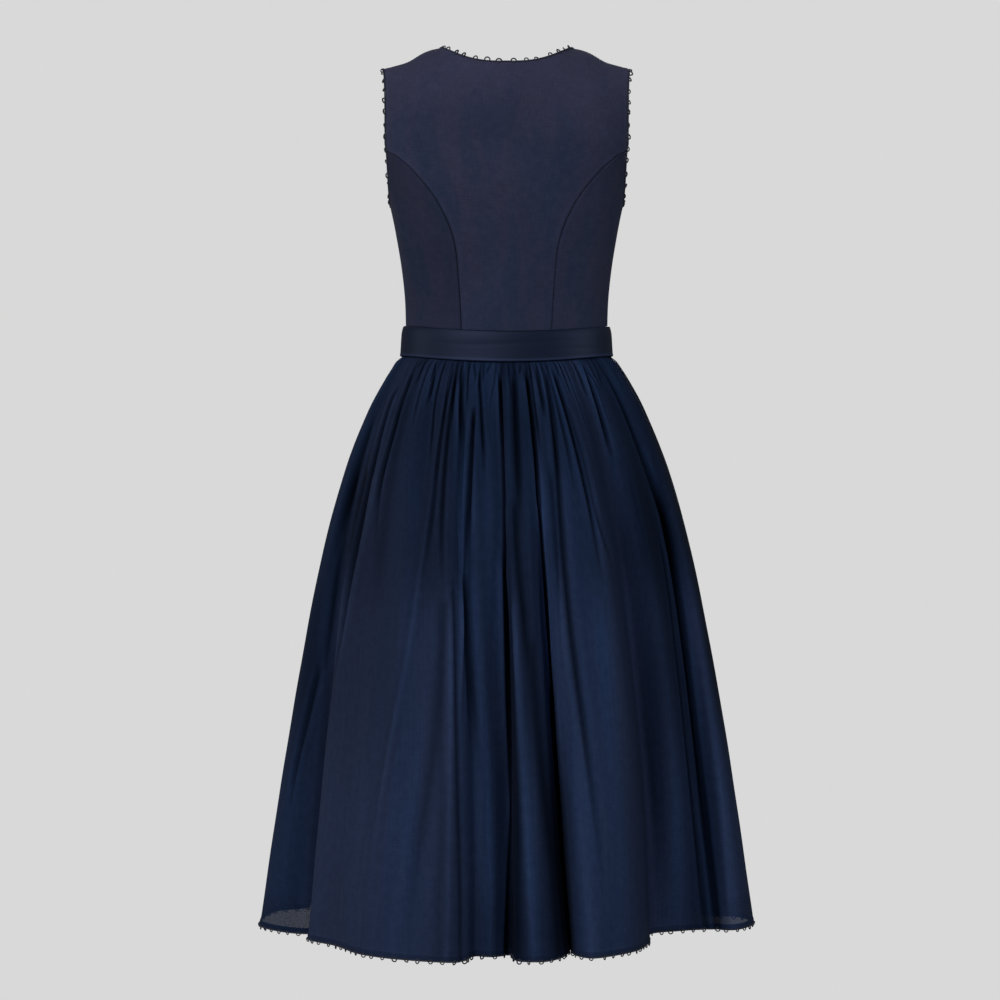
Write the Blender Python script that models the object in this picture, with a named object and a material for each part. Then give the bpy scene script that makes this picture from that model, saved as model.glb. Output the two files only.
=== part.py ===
"""A sleeveless dirndl, filled out as when worn: fitted bodice, waistband, gathered midi skirt.

The frame is +Z up, the back of the dress faces +Y and the wearer's left is +X. The origin is midway
between the two shoulder neck points, where the dress hangs on the wearer. Sizes are millimetres,
and MM turns them into metres where a mesh is made.
"""

import math

import bmesh
import bpy

MM = 0.001

# Cloth
BODICE_WALL = 1.6
BAND_WALL = 1.8
SKIRT_WALL = 1.4
LINING_WALL = 1.0
TRIM_WALL = 1.0
SEAM_GAP = 0.3
PICOT_REACH = 5.8

# Bodice
BLADE_LEVEL = -130.0
BODICE_FOOT = -380.0
NECK_HALF = 88.0
BACK_NECK_DROP = 30.0
FRONT_NECK_DROP = 165.0
BACK_NECK_ROUND = 2.6
FRONT_NECK_ROUND = 3.0
SHOULDER_HALF = 161.0
UNDERARM_LEVEL = -205.0
BACK_SEAM_TOP = -147.0
FRONT_SEAM_TOP = -152.0
TIP_CUT = 3.0
TIP_SHARE = 0.8
FRONT_ROW_DIP = 50.0
ARMHOLE_FOOT_SHARE = 0.45
BACK_ARMHOLE_SIDE = 155.9
FRONT_ARMHOLE_SIDE = 148.0
BACK_ARMHOLE_WIDTH = 47.0
FRONT_ARMHOLE_WIDTH = 60.7
ARMHOLE_FLARE = 2.2

# Ease of the cup that each front princess seam shapes
CUP_DEPTH = 11.0
CUP_SIDE = 72.0
CUP_LEVEL = -222.0
CUP_SPREAD = 42.0

# Waistband
BAND_TOP = -362.0
BAND_HEIGHT = 39.5
BAND_DIP = 11.0

# Skirt
SKIRT_TUCK = 8.0
HEM_LEVEL = -1142.0
LINING_HEM_RISE = 10.0
LINING_TOP_DROP = 14.0
LINING_EASE_AT_WAIST = 3.0
LINING_EASE_BELOW = 9.0
LINING_EASE_SPAN = 0.17
LINING_WINDOW = math.radians(15.0)

# The torso's level rings: half width, depth behind and before the side line, and the
# superellipse exponent, where 2 is an ellipse.
TORSO = (
    # level, half_width, back, front, square
    (-130.0, 168.0, 100.0, 106.0, 2.40),
    (-170.0, 160.5, 99.5, 122.0, 2.40),
    (-205.0, 151.5, 97.0, 131.0, 2.35),
    (-240.0, 144.0, 93.0, 131.0, 2.25),
    (-290.0, 136.0, 87.0, 120.0, 2.10),
    (-340.0, 131.5, 82.0, 109.0, 2.00),
    (-420.0, 131.0, 80.0, 104.0, 2.00),
)

# Height of the shoulder line over its distance from the centre.
SHOULDER_LINE = (
    # side, height
    (0.0, 52.0),
    (60.0, 24.0),
    (88.0, 0.0),
    (108.0, -8.5),
    (128.0, -18.5),
    (148.0, -25.0),
    (170.0, -31.0),
)

# The curved princess seams of the back and the front, from the armhole to the waist.
BACK_SEAM = (
    # level, side
    (-147.0, 153.5),
    (-154.0, 138.0),
    (-169.0, 119.0),
    (-207.0, 89.0),
    (-254.0, 68.0),
    (-310.0, 61.0),
    (-380.0, 57.0),
)
FRONT_SEAM = (
    # level, side
    (-152.0, 147.0),
    (-162.0, 131.0),
    (-185.0, 105.0),
    (-225.0, 80.0),
    (-270.0, 68.0),
    (-320.0, 62.0),
    (-380.0, 60.0),
)

# How the waistband stands out from the bodice, from its upper to its lower edge.
BAND_PROFILE = (
    # share, stand
    (0.0, 3.1),
    (0.12, 4.6),
    (0.3, 5.8),
    (0.65, 6.6),
    (1.0, 7.4),
)

# The skirt's level ellipses by how far they hang below its upper edge.
SKIRT_FORM = (
    # fall, half_width, back, front
    (0.0, 135.1, 84.1, 108.1),
    (8.0, 135.5, 84.5, 108.5),
    (15.0, 143.0, 91.0, 115.0),
    (41.0, 160.0, 106.0, 127.0),
    (80.0, 181.0, 126.0, 144.0),
    (156.0, 211.0, 158.0, 172.0),
    (273.0, 243.0, 196.0, 206.0),
    (429.0, 274.0, 238.0, 244.0),
    (585.0, 300.0, 272.0, 272.0),
    (749.0, 324.0, 300.0, 296.0),
)

# One row for each ridge or valley of the skirt, from the left side over the back to the right
# side and home over the front: its angle from the centre back at the waist, in degrees, and its
# place at the knee and the hem, as shares of the half width and of the depth there.
FOLDS = (
    # name, waist, knee_side, knee_back, hem_side, hem_back
    ("left_side", 90.0, 1.000, 0.00, 1.000, -0.03),
    ("left_wing", 80.0, 0.955, 0.15, 0.925, 0.12),
    ("left_wing_inner", 72.0, 0.870, 0.22, 0.805, 0.21),
    ("left_tuck", 66.0, 0.810, 0.21, 0.735, 0.20),
    ("broad_fold_edge", 61.0, 0.810, 0.42, 0.775, 0.36),
    ("broad_fold_outer", 52.0, 0.700, 0.63, 0.660, 0.54),
    ("broad_fold_middle", 44.0, 0.570, 0.80, 0.545, 0.78),
    ("broad_fold_inner", 36.0, 0.440, 0.90, 0.375, 0.92),
    ("broad_fold_end", 25.0, 0.255, 0.98, 0.185, 0.98),
    ("thin_valley", 21.5, 0.180, 0.85, 0.120, 0.82),
    ("centre_flat", 13.0, 0.100, 0.88, 0.055, 0.84),
    ("centre_valley", 3.5, -0.005, 0.80, -0.012, 0.79),
    ("centre_fold_left", 0.5, -0.045, 0.96, -0.043, 0.95),
    ("centre_fold_right", -4.0, -0.100, 0.97, -0.130, 0.97),
    ("centre_fold_end", -7.5, -0.150, 0.89, -0.200, 0.87),
    ("deep_valley", -11.0, -0.200, 0.70, -0.245, 0.65),
    ("right_fold_left", -14.0, -0.240, 0.84, -0.265, 0.81),
    ("right_fold_crown", -18.0, -0.280, 0.92, -0.320, 0.875),
    ("right_fold_middle", -23.0, -0.430, 0.87, -0.400, 0.81),
    ("right_fold_outer", -26.5, -0.510, 0.77, -0.494, 0.67),
    ("right_fold_edge", -29.5, -0.567, 0.60, -0.549, 0.45),
    ("right_tuck", -33.0, -0.620, 0.31, -0.574, 0.20),
    ("right_wing_inner", -46.0, -0.740, 0.36, -0.680, 0.125),
    ("right_wing_valley", -60.0, -0.865, 0.12, -0.820, 0.075),
    ("right_wing", -70.0, -0.940, 0.15, -0.900, 0.10),
    ("right_side", -90.0, -1.000, -0.03, -1.000, -0.10),
    ("front_right_wing", -100.0, -0.960, -0.22, -0.945, -0.30),
    ("front_right_tuck", -108.0, -0.830, -0.36, -0.800, -0.36),
    ("front_right_edge", -116.0, -0.810, -0.56, -0.800, -0.56),
    ("front_right_broad", -126.0, -0.660, -0.73, -0.660, -0.74),
    ("front_right_valley", -133.0, -0.525, -0.70, -0.505, -0.66),
    ("front_right_ridge", -140.0, -0.535, -0.84, -0.530, -0.83),
    ("front_right_crown", -150.0, -0.380, -0.93, -0.370, -0.93),
    ("front_right_narrow", -157.0, -0.270, -0.83, -0.255, -0.78),
    ("front_right_inner", -163.0, -0.205, -0.96, -0.205, -0.97),
    ("front_right_centre", -172.0, -0.100, -0.98, -0.085, -1.00),
    ("front_valley", -180.0, 0.000, -0.86, 0.010, -0.83),
    ("front_left_centre", -189.0, 0.110, -0.98, 0.105, -0.99),
    ("front_left_inner", -198.0, 0.225, -0.95, 0.235, -0.96),
    ("front_left_narrow", -205.0, 0.285, -0.82, 0.275, -0.76),
    ("front_left_crown", -211.0, 0.365, -0.91, 0.370, -0.90),
    ("front_left_ridge", -222.0, 0.550, -0.83, 0.540, -0.82),
    ("front_left_valley", -229.0, 0.565, -0.68, 0.555, -0.64),
    ("front_left_broad", -236.0, 0.680, -0.71, 0.690, -0.70),
    ("front_left_edge", -246.0, 0.820, -0.55, 0.825, -0.54),
    ("front_left_tuck", -253.0, 0.840, -0.36, 0.820, -0.37),
    ("front_left_wing", -261.0, 0.960, -0.22, 0.950, -0.26),
)
RIGHT_SIDE = 25
FRONT_CENTRE = 36
FOLD_COUNT = len(FOLDS)

# Facets. Pieces that share a seam share its steps too, so that their facets meet.
SEAM_STEPS = 8
SIDE_SEAM_STEPS = 4
ARMHOLE_STEPS = 5
SHOULDER_STEPS = 3
SIDE_STEPS = 4
BAND_STEPS = 44
BACK_NECK_STEPS = 4
FRONT_NECK_STEPS = 6
SKIRT_ROWS = (0.0, 0.011, 0.03, 0.075, 0.16, 0.30, 0.50, 0.75, 1.0)
BACK_STEPS = 3
FRONT_STEPS = 2
LINING_SPOKES = 32
LINING_ROWS = 5

# How strongly steps crowd: towards the top of a princess seam, the ends of the front neckline
# and the top of the lining
SEAM_CROWDING = 1.7
NECK_CROWDING = 1.5
LINING_ROW_CROWDING = 1.6


def lerp(first, last, share):
    return first + (last - first) * share


def table_value(table, column, place):
    """A smooth curve through one column of a table, by the place in its first column."""
    rows = table if table[0][0] < table[-1][0] else table[::-1]
    last = len(rows) - 1
    index = 0
    while index < last - 1 and place > rows[index + 1][0]:
        index += 1
    start, end = rows[index][0], rows[index + 1][0]
    span = end - start
    share = min(max((place - start) / span, 0.0), 1.0)

    def slope(row):
        low, high = rows[max(row - 1, 0)], rows[min(row + 1, last)]
        return (high[column] - low[column]) / (high[0] - low[0])

    square, cube = share * share, share ** 3
    return (
        rows[index][column] * (2 * cube - 3 * square + 1)
        + slope(index) * span * (cube - 2 * square + share)
        + rows[index + 1][column] * (3 * square - 2 * cube)
        + slope(index + 1) * span * (cube - square)
    )


def power(value, exponent):
    return math.copysign(abs(value) ** exponent, value)


def cross(first, second):
    return (
        first[1] * second[2] - first[2] * second[1],
        first[2] * second[0] - first[0] * second[2],
        first[0] * second[1] - first[1] * second[0],
    )


def minus(first, second):
    return tuple(a - b for a, b in zip(first, second))


def unit(vector):
    length = math.sqrt(sum(value * value for value in vector))
    return tuple(value / length for value in vector)


def moved(point, direction, distance):
    return tuple(a + b * distance for a, b in zip(point, direction))


def normal_of(surface, across, along):
    """Outward normal of a surface whose first number runs to the left and second runs up."""
    step = 0.002
    width = minus(surface(across + step, along), surface(across - step, along))
    height = minus(surface(across, along + step * 50), surface(across, along - step * 50))
    return unit(cross(height, width))


# Bodice form. Its points are named by an angle from the centre back, positive to the wearer's
# left, and by a rise over the shoulder blades along the cloth.


def ring_point(angle, level, stand=0.0):
    half = table_value(TORSO, 1, level) + stand
    depth = table_value(TORSO, 2 if math.cos(angle) > 0 else 3, level) + stand
    share = 2.0 / table_value(TORSO, 4, level)
    return half * power(math.sin(angle), share), depth * power(math.cos(angle), share)


def bust(side, level):
    across = (abs(side) - CUP_SIDE) / CUP_SPREAD
    along = (level - CUP_LEVEL) / CUP_SPREAD
    return CUP_DEPTH * math.exp(-across ** 2 - along ** 2)


def arch_height(angle):
    side = abs(ring_point(angle, BLADE_LEVEL)[0])
    return table_value(SHOULDER_LINE, 1, side) - BLADE_LEVEL


def bodice_point(angle, rise):
    level = BLADE_LEVEL + min(rise, 0.0)
    side, back = ring_point(angle, level)
    height = level
    if rise > 0.0:
        arch = arch_height(angle)
        turn = min(rise / arch, math.pi / 2)
        height = BLADE_LEVEL + arch * math.sin(turn)
        back *= math.cos(turn)
    if back < 0.0:
        back -= bust(side, height)
    return side, back, height


def rise_at(angle, height):
    if height <= BLADE_LEVEL:
        return height - BLADE_LEVEL
    arch = arch_height(angle)
    return arch * math.asin(min((height - BLADE_LEVEL) / arch, 1.0))


def angle_at(side, level, before):
    half = table_value(TORSO, 1, level)
    square = table_value(TORSO, 4, level)
    angle = math.asin(min(side / half, 1.0) ** (square / 2.0))
    return math.pi - angle if before else angle


def armhole_edge(share, before):
    """Angle and rise on the armhole, from the underarm (0) to the shoulder seam (1)."""
    widest = FRONT_ARMHOLE_WIDTH if before else BACK_ARMHOLE_WIDTH
    side_at_blade = FRONT_ARMHOLE_SIDE if before else BACK_ARMHOLE_SIDE
    if share < ARMHOLE_FOOT_SHARE:
        turn = share / ARMHOLE_FOOT_SHARE * math.pi / 2
        level = BLADE_LEVEL + (UNDERARM_LEVEL - BLADE_LEVEL) * math.cos(turn)
        depth = table_value(TORSO, 3 if before else 2, level)
        square = table_value(TORSO, 4, level)
        angle = math.acos((widest * math.sin(turn) / depth) ** (square / 2.0))
        return (math.pi - angle if before else angle), level - BLADE_LEVEL
    top = arch_height(angle_at(SHOULDER_HALF, BLADE_LEVEL, before)) * math.pi / 2
    climb = (share - ARMHOLE_FOOT_SHARE) / (1.0 - ARMHOLE_FOOT_SHARE)
    side = lerp(side_at_blade, SHOULDER_HALF, climb ** ARMHOLE_FLARE)
    angle = angle_at(side, BLADE_LEVEL, before)
    arch = arch_height(angle) * math.pi / 2
    return angle, min(climb * top, arch)


def armhole_share_at(level, before):
    """Share along the armhole's curved foot at one level below the shoulder blades."""
    turn = math.acos((level - BLADE_LEVEL) / (UNDERARM_LEVEL - BLADE_LEVEL))
    return ARMHOLE_FOOT_SHARE * turn / (math.pi / 2)


def princess_edge(share, before):
    """Angle and rise on a princess seam, from the waist (0) to the armhole (1)."""
    seam = FRONT_SEAM if before else BACK_SEAM
    level = lerp(BODICE_FOOT, seam[0][0], 1.0 - (1.0 - share) ** SEAM_CROWDING)
    if share > 0.999:
        return armhole_edge(armhole_share_at(level, before), before)
    return angle_at(table_value(seam, 1, level), level, before), level - BLADE_LEVEL


def neck_height(side, before):
    drop = FRONT_NECK_DROP if before else BACK_NECK_DROP
    roundness = FRONT_NECK_ROUND if before else BACK_NECK_ROUND
    return -drop * (1.0 - min(abs(side) / NECK_HALF, 1.0) ** roundness)


def top_rise(angle):
    """Rise of the bodice's upper edge: the neckline, then the shoulder seam."""
    before = math.cos(angle) < 0.0
    side = abs(ring_point(angle, BLADE_LEVEL)[0])
    if side < NECK_HALF:
        return rise_at(angle, neck_height(side, before))
    return arch_height(angle) * math.pi / 2


NECK_ANGLE = angle_at(NECK_HALF, BLADE_LEVEL, False)


def trimmed(angle, rise, inward):
    """Draws an edge back by half a seam gap, towards a smaller (-1) or larger (+1) angle."""
    step = 0.002
    first, last = bodice_point(angle - step, rise), bodice_point(angle + step, rise)
    per_radian = math.dist(first, last) / (2 * step)
    return angle + inward * 0.5 * SEAM_GAP / per_radian


# Skirt form. Its points are named by a place round the rows of FOLDS and by the share of the
# way from the upper edge to the hem.


def waist_dip(angle):
    return BAND_DIP * max(math.cos(angle), 0.0) ** 2


def fold_at(row, share):
    """Plan place of one ridge or valley, as shares of the half width and of the depth."""
    _, waist, knee_side, knee_back, hem_side, hem_back = FOLDS[row % FOLD_COUNT]
    angle = math.radians(waist)
    at_waist = (1.0 - share) * (1.0 - 2.0 * share)
    at_knee = 4.0 * share * (1.0 - share)
    at_hem = share * (2.0 * share - 1.0)
    side = math.sin(angle) * at_waist + knee_side * at_knee + hem_side * at_hem
    back = math.cos(angle) * at_waist + knee_back * at_knee + hem_back * at_hem
    return side, back


def fold_curve(place, share):
    """The skirt's closed plan curve, a centripetal spline through the folds of one level."""
    row = math.floor(place)
    inner = place - row
    before, start, end, after = (fold_at(row + offset, share) for offset in (-1, 0, 1, 2))
    lead, span, tail = (
        math.sqrt(math.dist(a, b)) for a, b in ((before, start), (start, end), (end, after))
    )
    result = []
    for axis in (0, 1):
        p0, p1, p2, p3 = before[axis], start[axis], end[axis], after[axis]
        leave = span * ((p1 - p0) / lead - (p2 - p0) / (lead + span) + (p2 - p1) / span)
        reach = span * ((p2 - p1) / span - (p3 - p1) / (span + tail) + (p3 - p2) / tail)
        square, cube = inner * inner, inner ** 3
        result.append(
            p1 * (2 * cube - 3 * square + 1)
            + leave * (cube - 2 * square + inner)
            + p2 * (3 * square - 2 * cube)
            + reach * (cube - square)
        )
    return result


def skirt_level(side, back, share):
    top = BAND_TOP - BAND_HEIGHT + SKIRT_TUCK - waist_dip(math.atan2(side, back))
    return lerp(top, HEM_LEVEL, share)


def skirt_place(side, back, share):
    fall = share * SKIRT_FORM[-1][0]
    half = table_value(SKIRT_FORM, 1, fall)
    depth = table_value(SKIRT_FORM, 2 if back > 0 else 3, fall)
    return side * half, back * depth, skirt_level(side, back, share)


def skirt_point(place, share):
    side, back = fold_curve(place, share)
    return skirt_place(side, back, share)


def skirt_normal(place, share):
    share = min(max(share, 0.0005), 0.9995)
    step = 0.01
    width = minus(skirt_point(place + step, share), skirt_point(place - step, share))
    height = minus(skirt_point(place, share - 0.0004), skirt_point(place, share + 0.0004))
    return unit(cross(width, height))


def inner_reach(share, spokes):
    """Reach of the lining in each direction: inside the deepest fold nearby, then evened out."""
    outline = [fold_curve(step / 4.0, share) for step in range(4 * FOLD_COUNT)]
    polar = [(math.atan2(side, back), math.hypot(side, back)) for side, back in outline]
    turn = 2.0 * math.pi / spokes

    def nearby(angle):
        return [
            reach for place, reach in polar
            if abs(math.remainder(place - angle, 2.0 * math.pi)) < LINING_WINDOW
        ]

    lowest = [min(nearby(index * turn)) for index in range(spokes)]
    return [
        (lowest[index - 1] + 2.0 * lowest[index] + lowest[(index + 1) % spokes]) / 4.0
        for index in range(spokes)
    ]


# Meshes


def cloth_material(name, colour, roughness):
    material = bpy.data.materials.new(name)
    material.use_nodes = True
    shader = material.node_tree.nodes["Principled BSDF"]
    shader.inputs["Base Color"].default_value = (*colour, 1.0)
    shader.inputs["Roughness"].default_value = roughness
    shader.inputs["Metallic"].default_value = 0.0
    return material


def add_object(name, mesh_data, material, collection):
    if mesh_data.calc_volume(signed=True) < 0.0:
        bmesh.ops.reverse_faces(mesh_data, faces=mesh_data.faces[:])
    mesh = bpy.data.meshes.new(name)
    mesh_data.to_mesh(mesh)
    mesh_data.free()
    mesh.materials.append(material)
    mesh.shade_smooth()
    node = bpy.data.objects.new(name, mesh)
    collection.objects.link(node)
    return node


def cloth_slab(name, columns, rows, shape, material, collection, closed=False):
    """A wall of cloth: a grid, doubled by an extrusion, whose points are placed by shape.

    shape takes the column's and the row's share and the layer, 0 outside and 1 inside. Both
    layers are cut into the same triangles, so that they stay apart where the cloth twists. A
    closed wall is rolled up first, and its last column is its first.
    """
    mesh = bmesh.new()
    bmesh.ops.create_grid(mesh, x_segments=columns, y_segments=rows, size=0.5)
    bmesh.ops.triangulate(mesh, faces=mesh.faces[:])
    if closed:
        for vertex in mesh.verts:
            turn = 2 * math.pi * (vertex.co.x + 0.5)
            vertex.co = (math.sin(turn), math.cos(turn), vertex.co.y)
        bmesh.ops.remove_doubles(mesh, verts=mesh.verts[:], dist=0.0001)
    extruded = bmesh.ops.extrude_face_region(mesh, geom=mesh.faces[:])["geom"]
    inner = {element for element in extruded if isinstance(element, bmesh.types.BMVert)}
    for vertex in mesh.verts:
        if closed:
            across = math.atan2(vertex.co.x, vertex.co.y) / (2 * math.pi) % 1.0
            up = vertex.co.z + 0.5
        else:
            across, up = vertex.co.x + 0.5, vertex.co.y + 0.5
        layer = 1.0 if vertex in inner else 0.0
        vertex.co = [value * MM for value in shape(across, up, layer)]
    bmesh.ops.recalc_face_normals(mesh, faces=mesh.faces[:])
    return add_object(name, mesh, material, collection)


def cloth_tube(name, spokes, section, shape, material, collection):
    """A closed ring of cloth: a torus whose section is placed by shape, as (spoke, corner)."""
    bpy.ops.mesh.primitive_torus_add(
        major_segments=spokes, minor_segments=section, major_radius=2.0, minor_radius=0.5
    )
    ring = bpy.context.object
    mesh = bmesh.new()
    mesh.from_mesh(ring.data)
    bpy.data.objects.remove(ring)
    for vertex in mesh.verts:
        turn = math.atan2(vertex.co.y, vertex.co.x) / (2 * math.pi) % 1.0
        tilt = math.atan2(vertex.co.z, math.hypot(vertex.co.x, vertex.co.y) - 2.0)
        spoke = round(turn * spokes) % spokes
        corner = round(tilt / (2 * math.pi) * section) % section
        vertex.co = [value * MM for value in shape(spoke, corner)]
    return add_object(name, mesh, material, collection)


def bodice_wall(angle, rise, layer):
    point = bodice_point(angle, rise)
    return moved(point, normal_of(bodice_point, angle, rise), -BODICE_WALL * layer)


def mirrored(point, sign):
    return sign * point[0], point[1], point[2]


# Bodice pieces


def neck_share(inner, before):
    """Share of the neck's angle by the share of its steps, which crowd at the front's ends."""
    return 1.0 - (1.0 - inner) ** NECK_CROWDING if before else inner


def centre_edge(row, before):
    """The outer edge of a centre panel by its row: the princess seam, then the armhole."""
    if row <= SEAM_STEPS:
        return princess_edge(row / SEAM_STEPS, before)
    start = armhole_share_at(FRONT_SEAM_TOP if before else BACK_SEAM_TOP, before)
    return armhole_edge(lerp(start, 1.0, (row - SEAM_STEPS) / ARMHOLE_STEPS), before)


def from_centre(row, before):
    """Angle between the centre line and a centre panel's outer edge."""
    edge = centre_edge(row, before)[0]
    return math.pi - edge if before else edge


def seam_climb(row, before):
    """How far a row has climbed from the waist (0) to the top of the princess seam (1)."""
    foot, place, top = (centre_edge(at, before)[1] for at in (0, row, SEAM_STEPS))
    return min((place - foot) / (top - foot), 1.0)


def centre_angle(across, row, before):
    """Angle in a centre panel: steps under the neckline, then even steps to the edge."""
    neck_steps = FRONT_NECK_STEPS if before else BACK_NECK_STEPS
    on_neck = neck_steps / (neck_steps + SHOULDER_STEPS)
    edge = from_centre(row, before)
    foot = from_centre(0, before) * NECK_ANGLE / from_centre(SEAM_STEPS, before)
    neck = lerp(foot, NECK_ANGLE, seam_climb(row, before))
    if across < on_neck:
        angle = neck * neck_share(across / on_neck, before)
    else:
        angle = lerp(neck, edge, (across - on_neck) / (1.0 - on_neck))
    return math.pi - angle if before else angle


def centre_place(across, row, before):
    """Angle and rise in a centre panel, from the centre line (0) to its outer edge (1)."""
    top_row = SEAM_STEPS + ARMHOLE_STEPS
    foot, seam, place, tip = (
        centre_edge(at, before)[1] for at in (0, SEAM_STEPS, row, top_row)
    )
    top_angle = centre_angle(across, top_row, before)
    inner = min(abs(ring_point(top_angle, BLADE_LEVEL)[0]) / NECK_HALF, 1.0)
    seam_line = seam - (FRONT_ROW_DIP * (1.0 - inner) ** 2 if before else 0.0)
    if row <= SEAM_STEPS:
        rise = lerp(foot, seam_line, seam_climb(row, before))
    else:
        rise = lerp(seam_line, top_rise(top_angle), (place - seam) / (tip - seam))
    if row == top_row and inner > 0.9999:
        rise -= 0.5 * SEAM_GAP
    return centre_angle(across, row, before), rise


def build_back_centre(material, collection):
    rows = SEAM_STEPS + ARMHOLE_STEPS

    def shape(across, up, layer):
        row = round(up * rows)
        outer = abs(2 * across - 1)
        angle, rise = centre_place(outer, row, False)
        if outer > 0.999 and row <= SEAM_STEPS:
            angle = trimmed(angle, rise, -1)
        return mirrored(bodice_wall(angle, rise, layer), 1.0 if across > 0.5 else -1.0)

    columns = 2 * (BACK_NECK_STEPS + SHOULDER_STEPS)
    cloth_slab("back_centre", columns, rows, shape, material, collection)


def build_front_centre(side_name, sign, material, collection):
    rows = SEAM_STEPS + ARMHOLE_STEPS

    def shape(across, up, layer):
        row = round(up * rows)
        angle, rise = centre_place(across, row, True)
        if across > 0.999 and row <= SEAM_STEPS:
            angle = trimmed(angle, rise, 1)
        if across < 0.001:
            angle = trimmed(angle, rise, -1)
        return mirrored(bodice_wall(angle, rise, layer), sign)

    columns = FRONT_NECK_STEPS + SHOULDER_STEPS
    cloth_slab("front_centre_" + side_name, columns, rows, shape, material, collection)


def side_arm_share(row, before):
    """Share on the armhole at a side panel's row, up to just below the princess seam."""
    seam_top = FRONT_SEAM_TOP if before else BACK_SEAM_TOP
    last = armhole_share_at(seam_top - TIP_CUT, before)
    return last * (row - SIDE_SEAM_STEPS) / (SEAM_STEPS - SIDE_SEAM_STEPS)


def side_place(across, row, before):
    """Angle and rise in a side panel, from its princess seam (0) to the side seam (1)."""
    seam_angle, seam_rise = princess_edge(row / SEAM_STEPS, before)
    if row == SEAM_STEPS:
        last_angle, last_rise = princess_edge((row - 1) / SEAM_STEPS, before)
        seam_angle = lerp(last_angle, seam_angle, TIP_SHARE)
        seam_rise = lerp(last_rise, seam_rise, TIP_SHARE)
    if row <= SIDE_SEAM_STEPS:
        far_angle = math.pi / 2
        far_rise = lerp(BODICE_FOOT, UNDERARM_LEVEL, row / SIDE_SEAM_STEPS) - BLADE_LEVEL
    else:
        far_angle, far_rise = armhole_edge(side_arm_share(row, before), before)
    return lerp(seam_angle, far_angle, across), lerp(seam_rise, far_rise, across)


def build_side(place_name, side_name, before, sign, material, collection):
    def shape(across, up, layer):
        row = round(up * SEAM_STEPS)
        angle, rise = side_place(across, row, before)
        inward = 1 if before else -1
        if across < 0.001:
            angle = trimmed(angle, rise, -inward)
        elif across > 0.999 and row <= SIDE_SEAM_STEPS:
            angle = trimmed(angle, rise, inward)
        return mirrored(bodice_wall(angle, rise, layer), sign)

    name = place_name + "_side_" + side_name
    cloth_slab(name, SIDE_STEPS, SEAM_STEPS, shape, material, collection)


def build_waistband(material, collection):
    def shape(across, up, layer):
        angle = lerp(-math.pi, math.pi, across)
        opening = 0.5 * SEAM_GAP / TORSO[-1][1]
        angle = min(max(angle, opening - math.pi), math.pi - opening)
        stand = table_value(BAND_PROFILE, 1, 1.0 - up) - BAND_WALL * layer
        level = BAND_TOP - BAND_HEIGHT * (1.0 - up)
        side, back = ring_point(angle, level, stand)
        return side, back, level - waist_dip(angle)

    cloth_slab("waistband", BAND_STEPS, 3, shape, material, collection)


# Skirt pieces


def build_skirt(name, first, last, steps, material, collection):
    """One width of the skirt, between two rows of FOLDS."""
    columns = (last - first) * steps
    rows = len(SKIRT_ROWS) - 1

    def shape(across, up, layer):
        place = lerp(first, last, across)
        share = SKIRT_ROWS[round((1.0 - up) * rows)]
        step = 0.01
        per_row = math.dist(skirt_point(place - step, share), skirt_point(place + step, share))
        inset = 0.5 * SEAM_GAP * 2 * step / per_row
        place = min(max(place, first + inset), last - inset)
        point = skirt_point(place, share)
        return moved(point, skirt_normal(place, share), -SKIRT_WALL * layer)

    cloth_slab(name, columns, rows, shape, material, collection)


def build_lining(material, collection):
    rows = LINING_ROWS
    hem_share = 1.0 - LINING_HEM_RISE / SKIRT_FORM[-1][0]
    top_share = LINING_TOP_DROP / SKIRT_FORM[-1][0]
    shares = [lerp(top_share, hem_share, (row / rows) ** LINING_ROW_CROWDING) for row in range(rows + 1)]
    reaches = [inner_reach(share, LINING_SPOKES) for share in shares]

    def shape(across, up, layer):
        spoke = round(across * LINING_SPOKES) % LINING_SPOKES
        row = round((1.0 - up) * rows)
        share = shares[row]
        angle = 2 * math.pi * spoke / LINING_SPOKES
        reach = reaches[row][spoke]
        side, back, level = skirt_place(
            reach * math.sin(angle), reach * math.cos(angle), share
        )
        settled = min(share / LINING_EASE_SPAN, 1.0)
        ease = lerp(LINING_EASE_AT_WAIST, LINING_EASE_BELOW, settled) + LINING_WALL * layer
        length = math.hypot(side, back)
        return side * (1 - ease / length), back * (1 - ease / length), level

    cloth_slab("skirt_lining", LINING_SPOKES, rows, shape, material, collection, closed=True)


# Trims, each the plain reach of a row of picot loops along an edge


def strip_corner(edge, outward, normal, wall, corner):
    """One of the four corners of a trim's section, beside the middle of the cloth's edge."""
    reach = SEAM_GAP if corner in (0, 3) else SEAM_GAP + PICOT_REACH
    depth = 0.5 * (wall - TRIM_WALL) + (TRIM_WALL if corner > 1 else 0.0)
    return moved(moved(edge, outward, reach), normal, -depth)


def armhole_shares(before):
    """The armhole steps of the side panel and the centre panel, from underarm to shoulder."""
    side_rows = range(SIDE_SEAM_STEPS, SEAM_STEPS + 1)
    shares = [side_arm_share(row, before) for row in side_rows]
    start = armhole_share_at(FRONT_SEAM_TOP if before else BACK_SEAM_TOP, before)
    steps = range(ARMHOLE_STEPS + 1)
    return shares + [lerp(start, 1.0, step / ARMHOLE_STEPS) for step in steps]


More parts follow.
